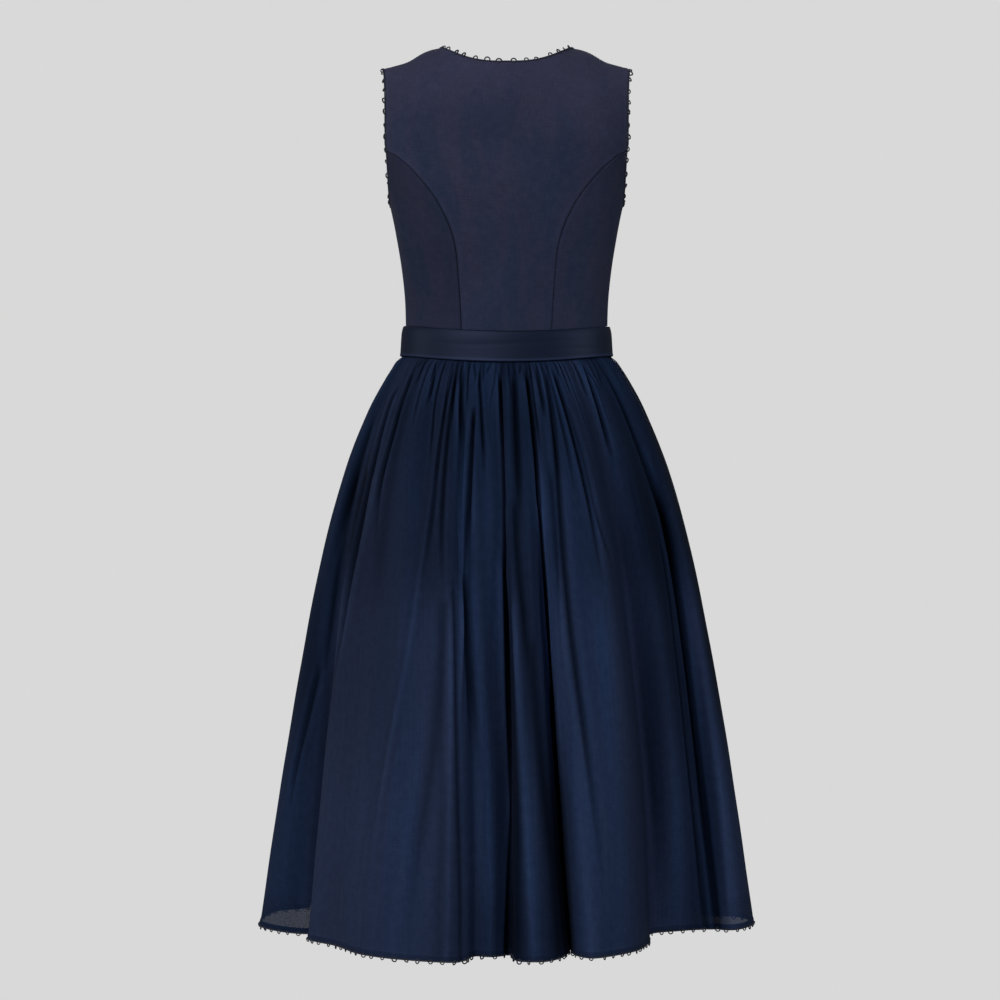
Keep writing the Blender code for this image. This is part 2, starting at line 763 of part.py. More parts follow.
def build_armhole_trim(side_name, sign, material, collection):
    back, front = armhole_shares(False), armhole_shares(True)
    around = [0.5 * share for share in back] + [1.0 - 0.5 * share for share in front[-2:0:-1]]

    def edge_place(share):
        share %= 1.0
        before = share > 0.5
        return armhole_edge(2.0 * (1.0 - share) if before else 2.0 * share, before)

    def edge_point(share):
        return bodice_point(*edge_place(share))

    def shape(spoke, corner):
        share = around[spoke]
        normal = normal_of(bodice_point, *edge_place(share))
        along = minus(edge_point(share + 0.004), edge_point(share - 0.004))
        outward = unit(cross(normal, along))
        edge = edge_point(share)
        return mirrored(strip_corner(edge, outward, normal, BODICE_WALL, corner), sign)

    cloth_tube("armhole_trim_" + side_name, len(around), 4, shape, material, collection)


def build_neck_trim(material, collection):
    """The trim runs from the centre front over the right neck point, the back and the left."""
    front_steps = [1.0 + step / FRONT_NECK_STEPS for step in range(FRONT_NECK_STEPS + 1)]
    back_steps = [step / BACK_NECK_STEPS for step in range(BACK_NECK_STEPS)]
    half = back_steps + front_steps
    around = [-place for place in half[:0:-1]] + half

    def edge_point(place):
        """Point by place: 0 at the centre back, 1 at a neck point and 2 at the centre front."""
        place = min(max(place, -1.999), 1.999)
        before = abs(place) > 1.0
        inner = 2.0 - abs(place) if before else abs(place)
        angle = NECK_ANGLE * neck_share(inner, before)
        angle = math.pi - angle if before else angle
        return angle, top_rise(angle), math.copysign(1.0, place)

    def at(place):
        angle, rise, sign = edge_point(place)
        return mirrored(bodice_point(angle, rise), sign)

    def shape(across, up, layer):
        place = around[round(across * (len(around) - 1))]
        angle, rise, sign = edge_point(place)
        normal = mirrored(normal_of(bodice_point, angle, rise), sign)
        along = minus(at(place + 0.01), at(place - 0.01))
        outward = unit(cross(along, normal))
        corner = (3 if layer else 0) if up < 0.5 else (2 if layer else 1)
        return strip_corner(at(place), outward, normal, BODICE_WALL, corner)

    cloth_slab("neck_trim", len(around) - 1, 1, shape, material, collection)


def hem_places():
    places = [row + step / BACK_STEPS for row in range(RIGHT_SIDE) for step in range(BACK_STEPS)]
    for row in range(RIGHT_SIDE, FOLD_COUNT):
        places += [row + step / FRONT_STEPS for step in range(FRONT_STEPS)]
    return places


def build_hem_trim(material, collection):
    places = hem_places()

    def shape(spoke, corner):
        place = places[spoke]
        edge = skirt_point(place, 1.0)
        normal = skirt_normal(place, 1.0)
        return strip_corner(edge, (0.0, 0.0, -1.0), normal, SKIRT_WALL, corner)

    cloth_tube("hem_trim", len(places), 4, shape, material, collection)


def build_dirndl():
    for old in list(bpy.data.objects):
        bpy.data.objects.remove(old)
    dirndl = bpy.data.collections.new("dirndl")
    bpy.context.scene.collection.children.link(dirndl)
    matte = cloth_material("matte_bodice_cloth", (0.020, 0.024, 0.050), 0.85)
    satin = cloth_material("satin_band", (0.012, 0.016, 0.034), 0.45)
    skirt = cloth_material("satin_skirt_cloth", (0.012, 0.018, 0.045), 0.55)
    lining = cloth_material("lining_cloth", (0.006, 0.008, 0.020), 0.70)
    cord = cloth_material("picot_cord", (0.018, 0.022, 0.045), 0.75)

    build_back_centre(matte, dirndl)
    for side_name, sign in (("left", 1.0), ("right", -1.0)):
        build_side("back", side_name, False, sign, matte, dirndl)
        build_side("front", side_name, True, sign, matte, dirndl)
        build_front_centre(side_name, sign, matte, dirndl)
        build_armhole_trim(side_name, sign, cord, dirndl)
    build_neck_trim(cord, dirndl)
    build_waistband(satin, dirndl)
    build_skirt("skirt_back", 0, RIGHT_SIDE, BACK_STEPS, skirt, dirndl)
    build_skirt("skirt_front_right", RIGHT_SIDE, FRONT_CENTRE, FRONT_STEPS, skirt, dirndl)
    build_skirt("skirt_front_left", FRONT_CENTRE, FOLD_COUNT, FRONT_STEPS, skirt, dirndl)
    build_lining(lining, dirndl)
    build_hem_trim(cord, dirndl)


build_dirndl()
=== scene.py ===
"""Looks of a sleeveless dirndl, filled out as when worn.

Cloth shells with seams, gathers and creases stand for the frame's plain walls, on the same form.
Forms are worked out in millimetres, and MM turns them into metres where a mesh is made. The back
of the dress faces +Y and the wearer's left is +X.
"""

import math
from typing import NamedTuple

import bpy
import numpy as np
from mathutils import Color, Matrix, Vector


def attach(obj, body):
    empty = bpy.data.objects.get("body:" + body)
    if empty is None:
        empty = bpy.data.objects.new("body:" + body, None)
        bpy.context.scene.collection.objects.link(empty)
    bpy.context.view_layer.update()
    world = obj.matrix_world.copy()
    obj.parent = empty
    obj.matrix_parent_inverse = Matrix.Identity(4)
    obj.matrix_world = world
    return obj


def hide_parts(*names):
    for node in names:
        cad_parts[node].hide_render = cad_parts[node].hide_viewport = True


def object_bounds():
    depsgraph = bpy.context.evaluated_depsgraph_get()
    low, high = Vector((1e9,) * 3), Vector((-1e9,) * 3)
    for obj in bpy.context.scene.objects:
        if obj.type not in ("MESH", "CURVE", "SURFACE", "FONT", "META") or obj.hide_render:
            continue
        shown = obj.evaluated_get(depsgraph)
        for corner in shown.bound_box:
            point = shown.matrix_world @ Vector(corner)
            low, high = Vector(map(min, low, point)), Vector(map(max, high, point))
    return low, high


bl_info = {
    "name": "Dirndl",
    "version": (1, 0, 0),
    "blender": (4, 5, 0),
    "location": "View3D > Sidebar > Dirndl",
    "description": "Sews the visible cloth of a sleeveless dirndl over its solids",
    "category": "Add Mesh",
}

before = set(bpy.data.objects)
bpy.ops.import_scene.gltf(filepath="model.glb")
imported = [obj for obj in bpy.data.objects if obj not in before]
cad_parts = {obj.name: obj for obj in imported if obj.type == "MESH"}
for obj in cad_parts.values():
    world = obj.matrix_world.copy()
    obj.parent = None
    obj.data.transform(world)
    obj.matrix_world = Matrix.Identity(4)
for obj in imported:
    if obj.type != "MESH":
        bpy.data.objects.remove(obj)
CAD_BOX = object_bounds()
MM = 0.001
QUARTER_TURN = math.pi / 2

# Bodice
BLADE_LEVEL = -130.0
BODICE_FOOT = -380.0
NECK_HALF = 88.0
SHOULDER_HALF = 161.0
UNDERARM_LEVEL = -205.0
ARMHOLE_FOOT_SHARE = 0.45
ARMHOLE_FLARE = 2.2
SEAM_END_SHARE = 0.96
SIDE_CORNER_DROP = 1.5
SEAM_ROLL = 1.5
EDGE_ROLL = 0.9
SEAM_LAP = 0.15
ALLOWANCE_RIDGE = 0.35
ALLOWANCE_MIDDLE = 5.0
FACING_RIDGE = 0.15
FACING_MIDDLE = 4.0
# Reach of the side panels' painted shade below their top edge
SIDE_SHADE_DEPTH = 42.0

# Ease of the cup that each front princess seam shapes, and the hollow between the blades
CUP_DEPTH = 11.0
CUP_SIDE = 72.0
CUP_LEVEL = -222.0
CUP_SPREAD = 42.0
HOLLOW_DEPTH = 2.5
HOLLOW_LEVEL = -235.0
HOLLOW_WIDTH = 30.0
HOLLOW_HEIGHT = 75.0

# Waistband
BAND_TOP = -362.0
BAND_HEIGHT = 39.5
BAND_DIP = 11.0
BAND_END_GAP = 0.02
BAND_LOOSENESS = 1.3
BAND_WAVE = 0.5
TOPSTITCH_RISE = 2.2
TOPSTITCH_WIDTH = 1.3
TOPSTITCH_RIDGE = 0.35

# Skirt
SKIRT_TUCK = 8.0
HEM_LEVEL = -1142.0
SKIRT_LENGTH = 749.0
HEM_STEP = 0.5
WIDTH_SEAM_ROLL = 1.2
RIPPLE_WAVES = 7
RIPPLE_PITCHES = (0.6, 1.8)

# Creases and gathers: the fall over which one sinks in, and the painted shade that darkens it per
# millimetre of depth. Both fade over their last part, and are narrower close under the band.
CREASE_EASE = 26.0
CREASE_PAINTED_SHADE = 0.16
CREASE_FADE_SHARE = 0.45
CREASE_FULL_WIDTH_FALL = 260.0
FRONT_CREASE_SHARE = 0.8
GATHER_TOP = 7.0
GATHER_EASE = 7.0
GATHER_PAINTED_SHADE = 0.26
GATHER_JITTER = 0.35
GATHER_DRIFT = 0.25
GATHER_ENDS = (25.0, 60.0)
GATHER_LONGEST = 150.0
GATHER_DEPTHS = (0.35, 1.3)
GATHER_WIDTHS = (1.9, 3.6)

# Lining
LINING_HEM_RISE = 10.0
LINING_TOP_DROP = 14.0
LINING_EASE_AT_WAIST = 7.0
LINING_EASE_BELOW = 16.0
LINING_EASE_SPAN = 0.17
LINING_WINDOW = math.radians(15.0)
LINING_BLUR = 15
LINING_WAVES = 23.0
LINING_WAVE_DEPTH = 1.6
LINING_LEFT_EASE = 14.0

# Rows and columns of the grids that the cloth is made on
SEAM_ROWS = 84
ARMHOLE_ROWS = 60
NECK_COLUMNS = 44
SHOULDER_COLUMNS = 40
SIDE_ROWS = 96
SIDE_COLUMNS = 44
BAND_ROWS = 30
BAND_COLUMNS = 300
LINING_ROWS = 40
LINING_COLUMNS = 160

# Picot cords: the spacing of the points that they follow, their sides, their radius as a share of
# the cord's thickness, how far they sit out from the edge, the turn of their stitches for each
# millimetre, and the distance in metres at which doubled points merge
PICOT_STEP = 1.2
HEM_PICOT_STEP = 1.4
CORD_SIDES = 6
CORD_SHARE = 0.42
CORD_STAND = 0.25
STITCH_TURN = 1.25
MERGE_DISTANCE = 0.00002

# Picot loops: the segments of one ring, and how uneven they are in spacing, size, lean, tilt and
# turn
LOOP_SEGMENTS = 12
LOOP_SPACING = 0.13
LOOP_SIZES = (0.84, 1.08)
LOOP_LEAN = 0.2
LOOP_TILT = 0.16
LOOP_TURN = 0.3

# Stage, in metres, with the camera's lens and sensor in millimetres
CAMERA_PLACE = (0.0085, 3.8, -0.588)
CAMERA_LENS = 105.2
CAMERA_SENSOR = 36.0
ROOM_RADIUS = 9.0
FLOOR_DROP = 0.34
LAMP_AIM = (0.0, 0.0, -0.6)
LAMPS = (
    # name, place, size, share of the key light's watts
    ("key light", (1.7, 3.7, 1.3), 2.2, 1.0),
    ("left side light", (3.6, 0.7, 0.3), 1.4, 0.2),
    ("right side light", (-3.4, 1.6, 0.5), 1.6, 0.34),
    ("front light", (-0.3, -4.2, 1.0), 1.4, 0.9),
)

# Columns of TORSO and, but for the last, of SKIRT_FORM
HALF_WIDTH, BEHIND, BEFORE, SQUARE = 1, 2, 3, 4

# The torso's level rings: half width, depth behind and before the side line, and the
# superellipse exponent, where 2 is an ellipse.
TORSO = (
    # level, half_width, behind, before, square
    (-130.0, 168.0, 100.0, 106.0, 2.40),
    (-170.0, 160.5, 99.5, 122.0, 2.40),
    (-205.0, 151.5, 97.0, 131.0, 2.35),
    (-240.0, 144.0, 93.0, 131.0, 2.25),
    (-290.0, 136.0, 87.0, 120.0, 2.10),
    (-340.0, 131.5, 82.0, 109.0, 2.00),
    (-420.0, 131.0, 80.0, 104.0, 2.00),
)

# Height of the shoulder line over its distance from the centre.
SHOULDER_LINE = (
    # side, height
    (0.0, 52.0),
    (60.0, 24.0),
    (84.0, 0.3),
    (88.0, -1.6),
    (97.0, -3.4),
    (109.0, -8.0),
    (128.0, -19.0),
    (148.0, -25.0),
    (170.0, -31.0),
)

# The curved princess seams of the back and the front, from the armhole to the waist.
BACK_SEAM = (
    # level, side
    (-137.0, 153.5),
    (-150.5, 138.0),
    (-168.5, 119.0),
    (-207.0, 89.0),
    (-254.0, 68.0),
    (-310.0, 61.0),
    (-380.0, 57.0),
)
FRONT_SEAM = (
    # level, side
    (-152.0, 147.0),
    (-162.0, 131.0),
    (-185.0, 105.0),
    (-225.0, 80.0),
    (-270.0, 68.0),
    (-320.0, 62.0),
    (-380.0, 60.0),
)

# Painted shade on each side panel: how light it is kept, and how much darker at the armhole.
SIDE_SHADES = {
    # light, darker
    "left": (0.76, 0.16),
    "right": (0.93, 0.3),
}

# How the waistband stands out from the bodice, from its upper to its lower edge.
BAND_PROFILE = (
    # share, stand
    (0.0, 3.1),
    (0.12, 4.6),
    (0.3, 5.8),
    (0.65, 6.6),
    (1.0, 7.4),
)

# Soft creases that slant round the waistband: how deep and wide each is, its height as a share
# from the upper edge, how far, how often and with what shift it swings up and down, and the
# angle round the waist where it lies and how far it spreads.
BAND_CREASES = (
    # depth, width, height, swing, waves, shift, angle, spread
    (0.2, 3.0, 0.42, 0.05, 3.1, 0.0, -0.15, 0.8),
    (0.15, 2.4, 0.7, 0.07, 4.3, 1.0, -0.9, 0.5),
    (0.3, 3.4, 0.3, -0.06, 2.7, 0.0, 2.4, 0.7),
)

# The skirt's level ellipses by how far they hang below its upper edge.
SKIRT_FORM = (
    # fall, half_width, behind, before
    (0.0, 135.1, 84.1, 108.1),
    (8.0, 135.5, 84.5, 108.5),
    (15.0, 143.0, 91.0, 115.0),
    (41.0, 160.0, 106.0, 127.0),
    (80.0, 181.0, 126.0, 144.0),
    (156.0, 211.0, 158.0, 172.0),
    (273.0, 243.0, 196.0, 206.0),
    (429.0, 274.0, 238.0, 244.0),
    (585.0, 300.0, 272.0, 272.0),
    (749.0, 324.0, 300.0, 296.0),
)

# One row for each ridge or valley of the skirt, from the left side over the back to the right
# side and home over the front: its angle from the centre back at the waist, in degrees, and its
# place at the knee and the hem, as shares of the half width and of the depth there.
FOLDS = {
    # waist, knee_side, knee_back, hem_side, hem_back
    "left_side": (90.0, 0.990, 0.00, 0.991, -0.03),
    "left_wing": (80.0, 0.948, 0.15, 0.918, 0.12),
    "left_wing_inner": (72.0, 0.870, 0.22, 0.805, 0.21),
    "left_tuck": (66.0, 0.810, 0.21, 0.735, 0.20),
    "broad_fold_edge": (61.0, 0.810, 0.42, 0.775, 0.36),
    "broad_fold_outer": (52.0, 0.700, 0.63, 0.660, 0.54),
    "broad_fold_middle": (44.0, 0.570, 0.80, 0.545, 0.78),
    "broad_fold_inner": (36.0, 0.440, 0.90, 0.375, 0.92),
    "broad_fold_end": (25.0, 0.255, 0.98, 0.185, 0.98),
    "thin_valley": (21.5, 0.180, 0.85, 0.120, 0.82),
    "centre_flat": (13.0, 0.100, 0.88, 0.055, 0.84),
    "centre_valley": (3.5, -0.005, 0.80, -0.012, 0.79),
    "centre_fold_left": (0.5, -0.045, 0.96, -0.043, 0.95),
    "centre_fold_right": (-4.0, -0.100, 0.97, -0.130, 0.97),
    "centre_fold_end": (-7.5, -0.150, 0.89, -0.200, 0.87),
    "deep_valley": (-11.0, -0.200, 0.70, -0.245, 0.65),
    "right_fold_left": (-14.0, -0.240, 0.84, -0.265, 0.81),
    "right_fold_crown": (-18.0, -0.280, 0.92, -0.320, 0.875),
    "right_fold_middle": (-23.0, -0.430, 0.87, -0.400, 0.81),
    "right_fold_outer": (-26.5, -0.510, 0.77, -0.494, 0.67),
    "right_fold_edge": (-29.5, -0.567, 0.60, -0.549, 0.45),
    "right_tuck": (-33.0, -0.620, 0.31, -0.574, 0.20),
    "right_wing_inner": (-46.0, -0.740, 0.36, -0.680, 0.125),
    "right_wing_valley": (-60.0, -0.865, 0.12, -0.820, 0.075),
    "right_wing": (-70.0, -0.940, 0.15, -0.900, 0.10),
    "right_side": (-90.0, -1.000, -0.03, -1.000, -0.10),
    "front_right_wing": (-100.0, -0.960, -0.22, -0.945, -0.30),
    "front_right_tuck": (-108.0, -0.830, -0.36, -0.800, -0.36),
    "front_right_edge": (-116.0, -0.810, -0.56, -0.800, -0.56),
    "front_right_broad": (-126.0, -0.660, -0.73, -0.660, -0.74),
    "front_right_valley": (-133.0, -0.525, -0.70, -0.505, -0.66),
    "front_right_ridge": (-140.0, -0.535, -0.84, -0.530, -0.83),
    "front_right_crown": (-150.0, -0.380, -0.93, -0.370, -0.93),
    "front_right_narrow": (-157.0, -0.270, -0.83, -0.255, -0.78),
    "front_right_inner": (-163.0, -0.205, -0.96, -0.205, -0.97),
    "front_right_centre": (-172.0, -0.100, -0.98, -0.085, -1.00),
    "front_valley": (-180.0, 0.000, -0.86, 0.010, -0.83),
    "front_left_centre": (-189.0, 0.110, -0.98, 0.105, -0.99),
    "front_left_inner": (-198.0, 0.225, -0.95, 0.235, -0.96),
    "front_left_narrow": (-205.0, 0.285, -0.82, 0.275, -0.76),
    "front_left_crown": (-211.0, 0.365, -0.91, 0.370, -0.90),
    "front_left_ridge": (-222.0, 0.550, -0.83, 0.540, -0.82),
    "front_left_valley": (-229.0, 0.565, -0.68, 0.555, -0.64),
    "front_left_broad": (-236.0, 0.680, -0.71, 0.690, -0.70),
    "front_left_edge": (-246.0, 0.820, -0.55, 0.825, -0.54),
    "front_left_tuck": (-253.0, 0.840, -0.36, 0.820, -0.37),
    "front_left_wing": (-261.0, 0.960, -0.22, 0.950, -0.26),
}
RIGHT_SIDE = list(FOLDS).index("right_side")
FRONT_CENTRE = list(FOLDS).index("front_valley")
FOLD_COUNT = len(FOLDS)

# The skirt's widths, each between two rows of FOLDS, with the columns of its grid and the size
# it is cut to in metres.
WIDTHS = (
    # node, first, last, columns, flat
    ("skirt_back", 0, RIGHT_SIDE, 576, (1.25, 0.77)),
    ("skirt_front_right", RIGHT_SIDE, FRONT_CENTRE, 330, (0.62, 0.77)),
    ("skirt_front_left", FRONT_CENTRE, FOLD_COUNT, 330, (0.62, 0.77)),
)
WIDTH_SEAMS = np.cumsum([0] + [columns for _, _, _, columns, _ in WIDTHS])

# Rows of the skirt's grid, as shares of the way from the upper edge to the hem and as falls in
# millimetres: close under the band and at the hem, and wide apart between them.
SKIRT_SHARES = np.concatenate([
    np.linspace(0.0, 0.024, 7)[:-1],
    np.linspace(0.024, 0.16, 27)[:-1],
    np.linspace(0.16, 0.976, 40)[:-1],
    np.linspace(0.976, 1.0, 13),
])
SKIRT_FALLS = SKIRT_SHARES * SKIRT_LENGTH

# Creases of the skirt's back, one row each: how far below the upper edge it starts and ends, its
# place among the rows of FOLDS at its start, at one and two thirds and at its end, and its depth
# and width in millimetres. One that ends below the hem runs out through it.
CREASES = {
    # start, end, place_start, place_third, place_two_thirds, place_end, depth, width
    "left_wing_gather": (80.0, 300.0, 1.95, 2.05, 1.80, 1.60, 4.6, 7.0),
    "left_wing_line": (150.0, 460.0, 2.15, 2.25, 2.20, 2.10, 4.5, 7.0),
    "left_wing_slant": (400.0, 620.0, 1.75, 1.40, 1.05, 1.00, 4.0, 4.5),
    "broad_edge_line": (40.0, 460.0, 4.15, 4.45, 4.25, 3.85, 9.5, 5.5),
    "broad_edge_shadow": (150.0, 420.0, 3.90, 3.65, 3.40, 3.20, 5.5, 15.0),
    "left_deep_gather": (14.0, 260.0, 4.95, 5.10, 5.00, 5.20, 6.5, 4.5),
    "left_short_gather": (8.0, 75.0, 6.50, 6.75, 6.85, 6.80, 4.5, 4.0),
    "broad_fold_line": (8.0, 340.0, 7.70, 7.60, 7.40, 7.05, 3.4, 3.4),
    "broad_fold_ridge": (150.0, 720.0, 7.55, 7.00, 6.25, 5.90, -1.8, 4.0),
    "broad_fold_second": (8.0, 330.0, 7.95, 7.85, 7.75, 7.80, 3.4, 3.6),
    "purple_stripe": (300.0, 800.0, 7.85, 7.55, 7.15, 6.95, 2.0, 9.0),
    "fold_end_ridge": (300.0, 1000.0, 8.00, 7.85, 7.75, 7.75, -2.4, 5.5),
    "fold_end_line": (280.0, 1000.0, 8.25, 8.15, 8.18, 8.25, 2.2, 6.5),
    "inner_gather": (8.0, 125.0, 8.40, 8.75, 9.00, 9.10, 5.0, 4.5),
    "slanting_fold_top": (60.0, 290.0, 9.74, 9.60, 9.35, 9.02, 5.0, 3.6),
    "slanting_fold_ridge": (60.0, 520.0, 9.50, 9.05, 8.55, 8.05, -2.6, 4.5),
    "slanting_fold_low": (270.0, 540.0, 8.95, 8.95, 9.05, 9.15, 3.0, 6.0),
    "beside_centre": (14.0, 170.0, 9.85, 10.08, 10.20, 10.30, 4.5, 3.4),
    "centre_valley_top": (16.0, 430.0, 10.95, 11.32, 11.12, 11.05, 7.5, 4.0),
    "centre_valley_middle": (250.0, 860.0, 11.08, 11.08, 11.25, 10.85, 6.5, 5.0),
    "centre_valley_hem": (540.0, 1100.0, 11.25, 10.85, 10.65, 10.60, 4.5, 5.5),
    "after_centre": (14.0, 250.0, 12.85, 12.78, 12.76, 12.80, 5.0, 7.0),
    "centre_fold_shadow": (180.0, 430.0, 12.20, 12.40, 12.70, 13.00, 4.5, 8.0),
    "centre_fold_ridge": (300.0, 1000.0, 12.00, 12.35, 12.70, 12.90, -3.0, 8.0),
    "centre_fold_low": (350.0, 660.0, 13.50, 13.65, 13.75, 13.80, 2.6, 14.0),
    "deep_valley_top": (14.0, 240.0, 14.72, 14.70, 14.72, 14.80, 8.0, 6.0),
    "deep_valley_line": (180.0, 1000.0, 14.72, 15.10, 15.20, 15.00, 6.5, 4.4),
    "deep_valley_wide": (420.0, 1000.0, 14.90, 14.95, 15.00, 15.00, 3.5, 12.0),
    "right_fold_flank": (140.0, 340.0, 16.30, 16.35, 16.40, 16.40, 3.2, 9.0),
    "right_fold_line": (10.0, 720.0, 17.30, 17.10, 17.42, 17.80, 4.5, 4.8),
    "right_fold_short": (8.0, 90.0, 16.20, 16.35, 16.45, 16.50, 4.5, 4.5),
    "right_fold_gather": (14.0, 300.0, 18.05, 18.35, 18.65, 18.80, 6.0, 4.5),
    "right_fold_slant": (60.0, 300.0, 18.60, 18.95, 19.20, 20.10, 3.6, 5.0),
    "right_outer_gather": (8.0, 160.0, 21.80, 21.60, 21.50, 21.40, 5.0, 4.0),
    "wing_line": (240.0, 1000.0, 22.70, 22.55, 22.80, 22.90, 3.6, 4.0),
    "wing_valley_top": (20.0, 330.0, 22.70, 22.75, 23.10, 23.05, 5.0, 6.5),
    "wing_valley_low": (190.0, 1100.0, 23.10, 22.98, 23.25, 23.15, 4.4, 4.8),
}

# Columns of the table of hue and painted light below
PURPLE, WAIST, HIP, KNEE, HEM = 1, 2, 3, 4, 5

# The skirt's cloth by place in FOLDS: how purple (1) or blue (0) it is, and how much painted
# light and shade lightens or darkens it near the waist, at the hip, at the knee and near the hem.
SKIRT_HUE_AND_PAINTED_LIGHT = (
    # place, purple, waist, hip, knee, hem
    (0.0, 0.4, 0.60, 0.55, 0.50, 0.90),
    (1.0, 0.3, 0.70, 0.60, 0.40, 0.90),
    (1.6, 0.3, 0.52, 0.30, 0.42, 0.70),
    (2.2, 0.5, 0.46, 0.40, 0.80, 0.90),
    (2.8, 0.9, 0.55, 0.36, 0.90, 1.15),
    (4.0, 1.0, 0.60, 0.19, 0.88, 1.28),
    (5.0, 1.0, 0.46, 0.62, 0.84, 1.15),
    (5.5, 0.9, 0.36, 0.44, 0.86, 1.25),
    (6.0, 0.8, 0.60, 0.66, 0.82, 1.15),
    (7.0, 0.5, 0.46, 0.58, 0.98, 1.18),
    (7.5, 0.8, 0.48, 0.46, 0.90, 1.00),
    (8.0, 0.6, 0.36, 0.58, 1.08, 0.82),
    (8.5, 0.4, 0.82, 0.96, 1.45, 1.60),
    (9.0, 0.4, 0.42, 0.72, 0.88, 1.90),
    (9.6, 0.4, 0.60, 0.92, 1.10, 1.22),
    (10.0, 0.35, 0.48, 0.68, 0.75, 1.30),
    (10.5, 0.4, 0.64, 1.12, 1.48, 0.92),
    (11.0, 0.6, 0.44, 0.26, 0.12, 0.42),
    (11.5, 0.6, 0.25, 0.42, 0.50, 0.38),
    (12.0, 0.4, 0.40, 0.52, 0.84, 0.46),
    (12.5, 0.4, 0.34, 0.58, 0.54, 0.96),
    (13.0, 0.4, 0.32, 0.56, 0.50, 1.02),
    (13.5, 0.45, 0.45, 0.70, 0.80, 0.64),
    (14.0, 0.4, 0.42, 0.84, 0.95, 0.20),
    (14.5, 0.5, 0.40, 1.25, 2.20, 0.80),
    (15.0, 0.6, 0.40, 1.50, 1.15, 0.15),
    (15.5, 0.5, 0.46, 1.50, 2.50, 0.74),
    (16.0, 0.5, 0.54, 1.10, 2.20, 1.20),
    (16.5, 0.5, 0.64, 0.84, 2.10, 1.52),
    (17.0, 0.5, 0.46, 0.68, 1.08, 1.62),
    (17.6, 0.4, 0.58, 0.84, 1.08, 1.25),
    (18.4, 0.4, 0.58, 0.74, 1.55, 1.42),
    (19.0, 0.6, 0.64, 1.06, 1.36, 1.10),
    (19.6, 0.6, 0.66, 0.78, 0.88, 0.90),
    (20.5, 0.6, 0.76, 0.84, 0.90, 0.62),
    (21.0, 0.8, 0.50, 0.76, 1.68, 1.30),
    (21.5, 0.6, 0.84, 0.70, 1.12, 1.60),
    (22.0, 0.45, 0.50, 0.36, 0.78, 1.52),
    (22.6, 0.4, 0.36, 0.34, 0.44, 0.62),
    (23.1, 0.2, 0.62, 0.42, 0.85, 0.70),
    (23.6, 0.4, 0.48, 0.30, 1.05, 0.90),
    (24.1, 0.5, 0.42, 0.50, 1.15, 1.80),
    (24.6, 0.5, 0.20, 0.20, 0.22, 1.05),
    (26.0, 0.5, 0.60, 0.65, 0.70, 1.00),
    (27.5, 0.3, 0.40, 0.45, 0.60, 0.80),
    (29.0, 0.8, 0.50, 0.60, 0.80, 1.00),
    (31.0, 0.7, 0.50, 0.60, 0.80, 1.10),
    (33.0, 0.2, 0.60, 0.70, 1.00, 1.20),
    (35.0, 0.3, 0.50, 0.60, 0.80, 1.00),
    (36.0, 0.6, 0.40, 0.40, 0.50, 0.60),
    (37.5, 0.2, 0.60, 0.70, 0.90, 1.10),
    (39.0, 0.1, 0.50, 0.70, 1.00, 1.20),
    (41.0, 0.8, 0.50, 0.60, 0.80, 1.00),
    (43.0, 0.9, 0.50, 0.60, 0.80, 1.00),
    (45.0, 0.2, 0.40, 0.45, 0.60, 0.80),
    (46.3, 0.3, 0.60, 0.60, 0.70, 1.00),
    (47.0, 0.4, 0.60, 0.55, 0.50, 0.90),
)

# Where the painted light and shade of the hip, the knee and the hem take over, by share of the
# skirt's length.
PAINTED_LIGHT_STEPS = (
    # column, start, span
    (HIP, 0.12, 0.16),
    (KNEE, 0.32, 0.18),
    (HEM, 0.52, 0.31),
)

# Columns of HEM_LOOKS
SHEER, LIFT = 1, 2

# How sheer the hem looks by place, where one layer hangs at the wings and folds lie doubled
# elsewhere, and how far the front's hem swings up beside the left wing, in millimetres.
HEM_LOOKS = (
    # place, sheer, lift
    (0.0, 1.0, 0.0),
    (2.6, 1.0, 0.0),
    (3.4, 0.25, 0.0),
    (5.0, 0.1, 0.0),
    (22.0, 0.1, 0.0),
    (22.8, 0.2, 0.0),
    (23.4, 0.45, 0.0),
    (24.2, 1.0, 0.0),
    (25.5, 0.8, 0.0),
    (27.0, 0.5, 0.0),
    (29.0, 0.2, 0.0),
    (31.0, 0.1, 0.0),
    (40.5, 0.1, 0.0),
    (42.0, 0.2, 7.5),
    (42.8, 0.6, 9.5),
    (43.6, 0.9, 9.5),
    (45.2, 1.0, 9.5),
    (46.0, 1.0, 8.0),
    (47.0, 1.0, 0.0),
)


class Half(NamedTuple):
    """What differs between the back and the front of the bodice, in millimetres."""

    is_front: bool
    depth_column: int
    neck_drop: float
    neck_roundness: float
    armhole_side: float
    armhole_width: float
    row_dip: float
    seam: tuple

    @property
    def seam_top(self):
        """Level where the princess seam meets the armhole."""
        return self.seam[0][0]

    def turned(self, angle):
        """An angle from the centre back as one from this half's own centre line, or back."""
        return math.pi - angle if self.is_front else angle


BACK = Half(
    is_front=False,
    depth_column=BEHIND,
    neck_drop=30.0,
    neck_roundness=2.6,
    armhole_side=155.9,
    armhole_width=47.0,
    row_dip=0.0,
    seam=BACK_SEAM,
)
FRONT = Half(
    is_front=True,
    depth_column=BEFORE,
    neck_drop=165.0,
    neck_roundness=3.0,
    armhole_side=148.0,
    armhole_width=60.7,
    row_dip=50.0,
    seam=FRONT_SEAM,
)


# Curves and vectors


def hermite(start, leave, end, reach, share):
    """A curve from start to end that leaves and reaches them with the given slopes."""
    square, cube = share ** 2, share ** 3
    return (
        start * (2 * cube - 3 * square + 1)
        + leave * (cube - 2 * square + share)
        + end * (3 * square - 2 * cube)
        + reach * (cube - square)
    )


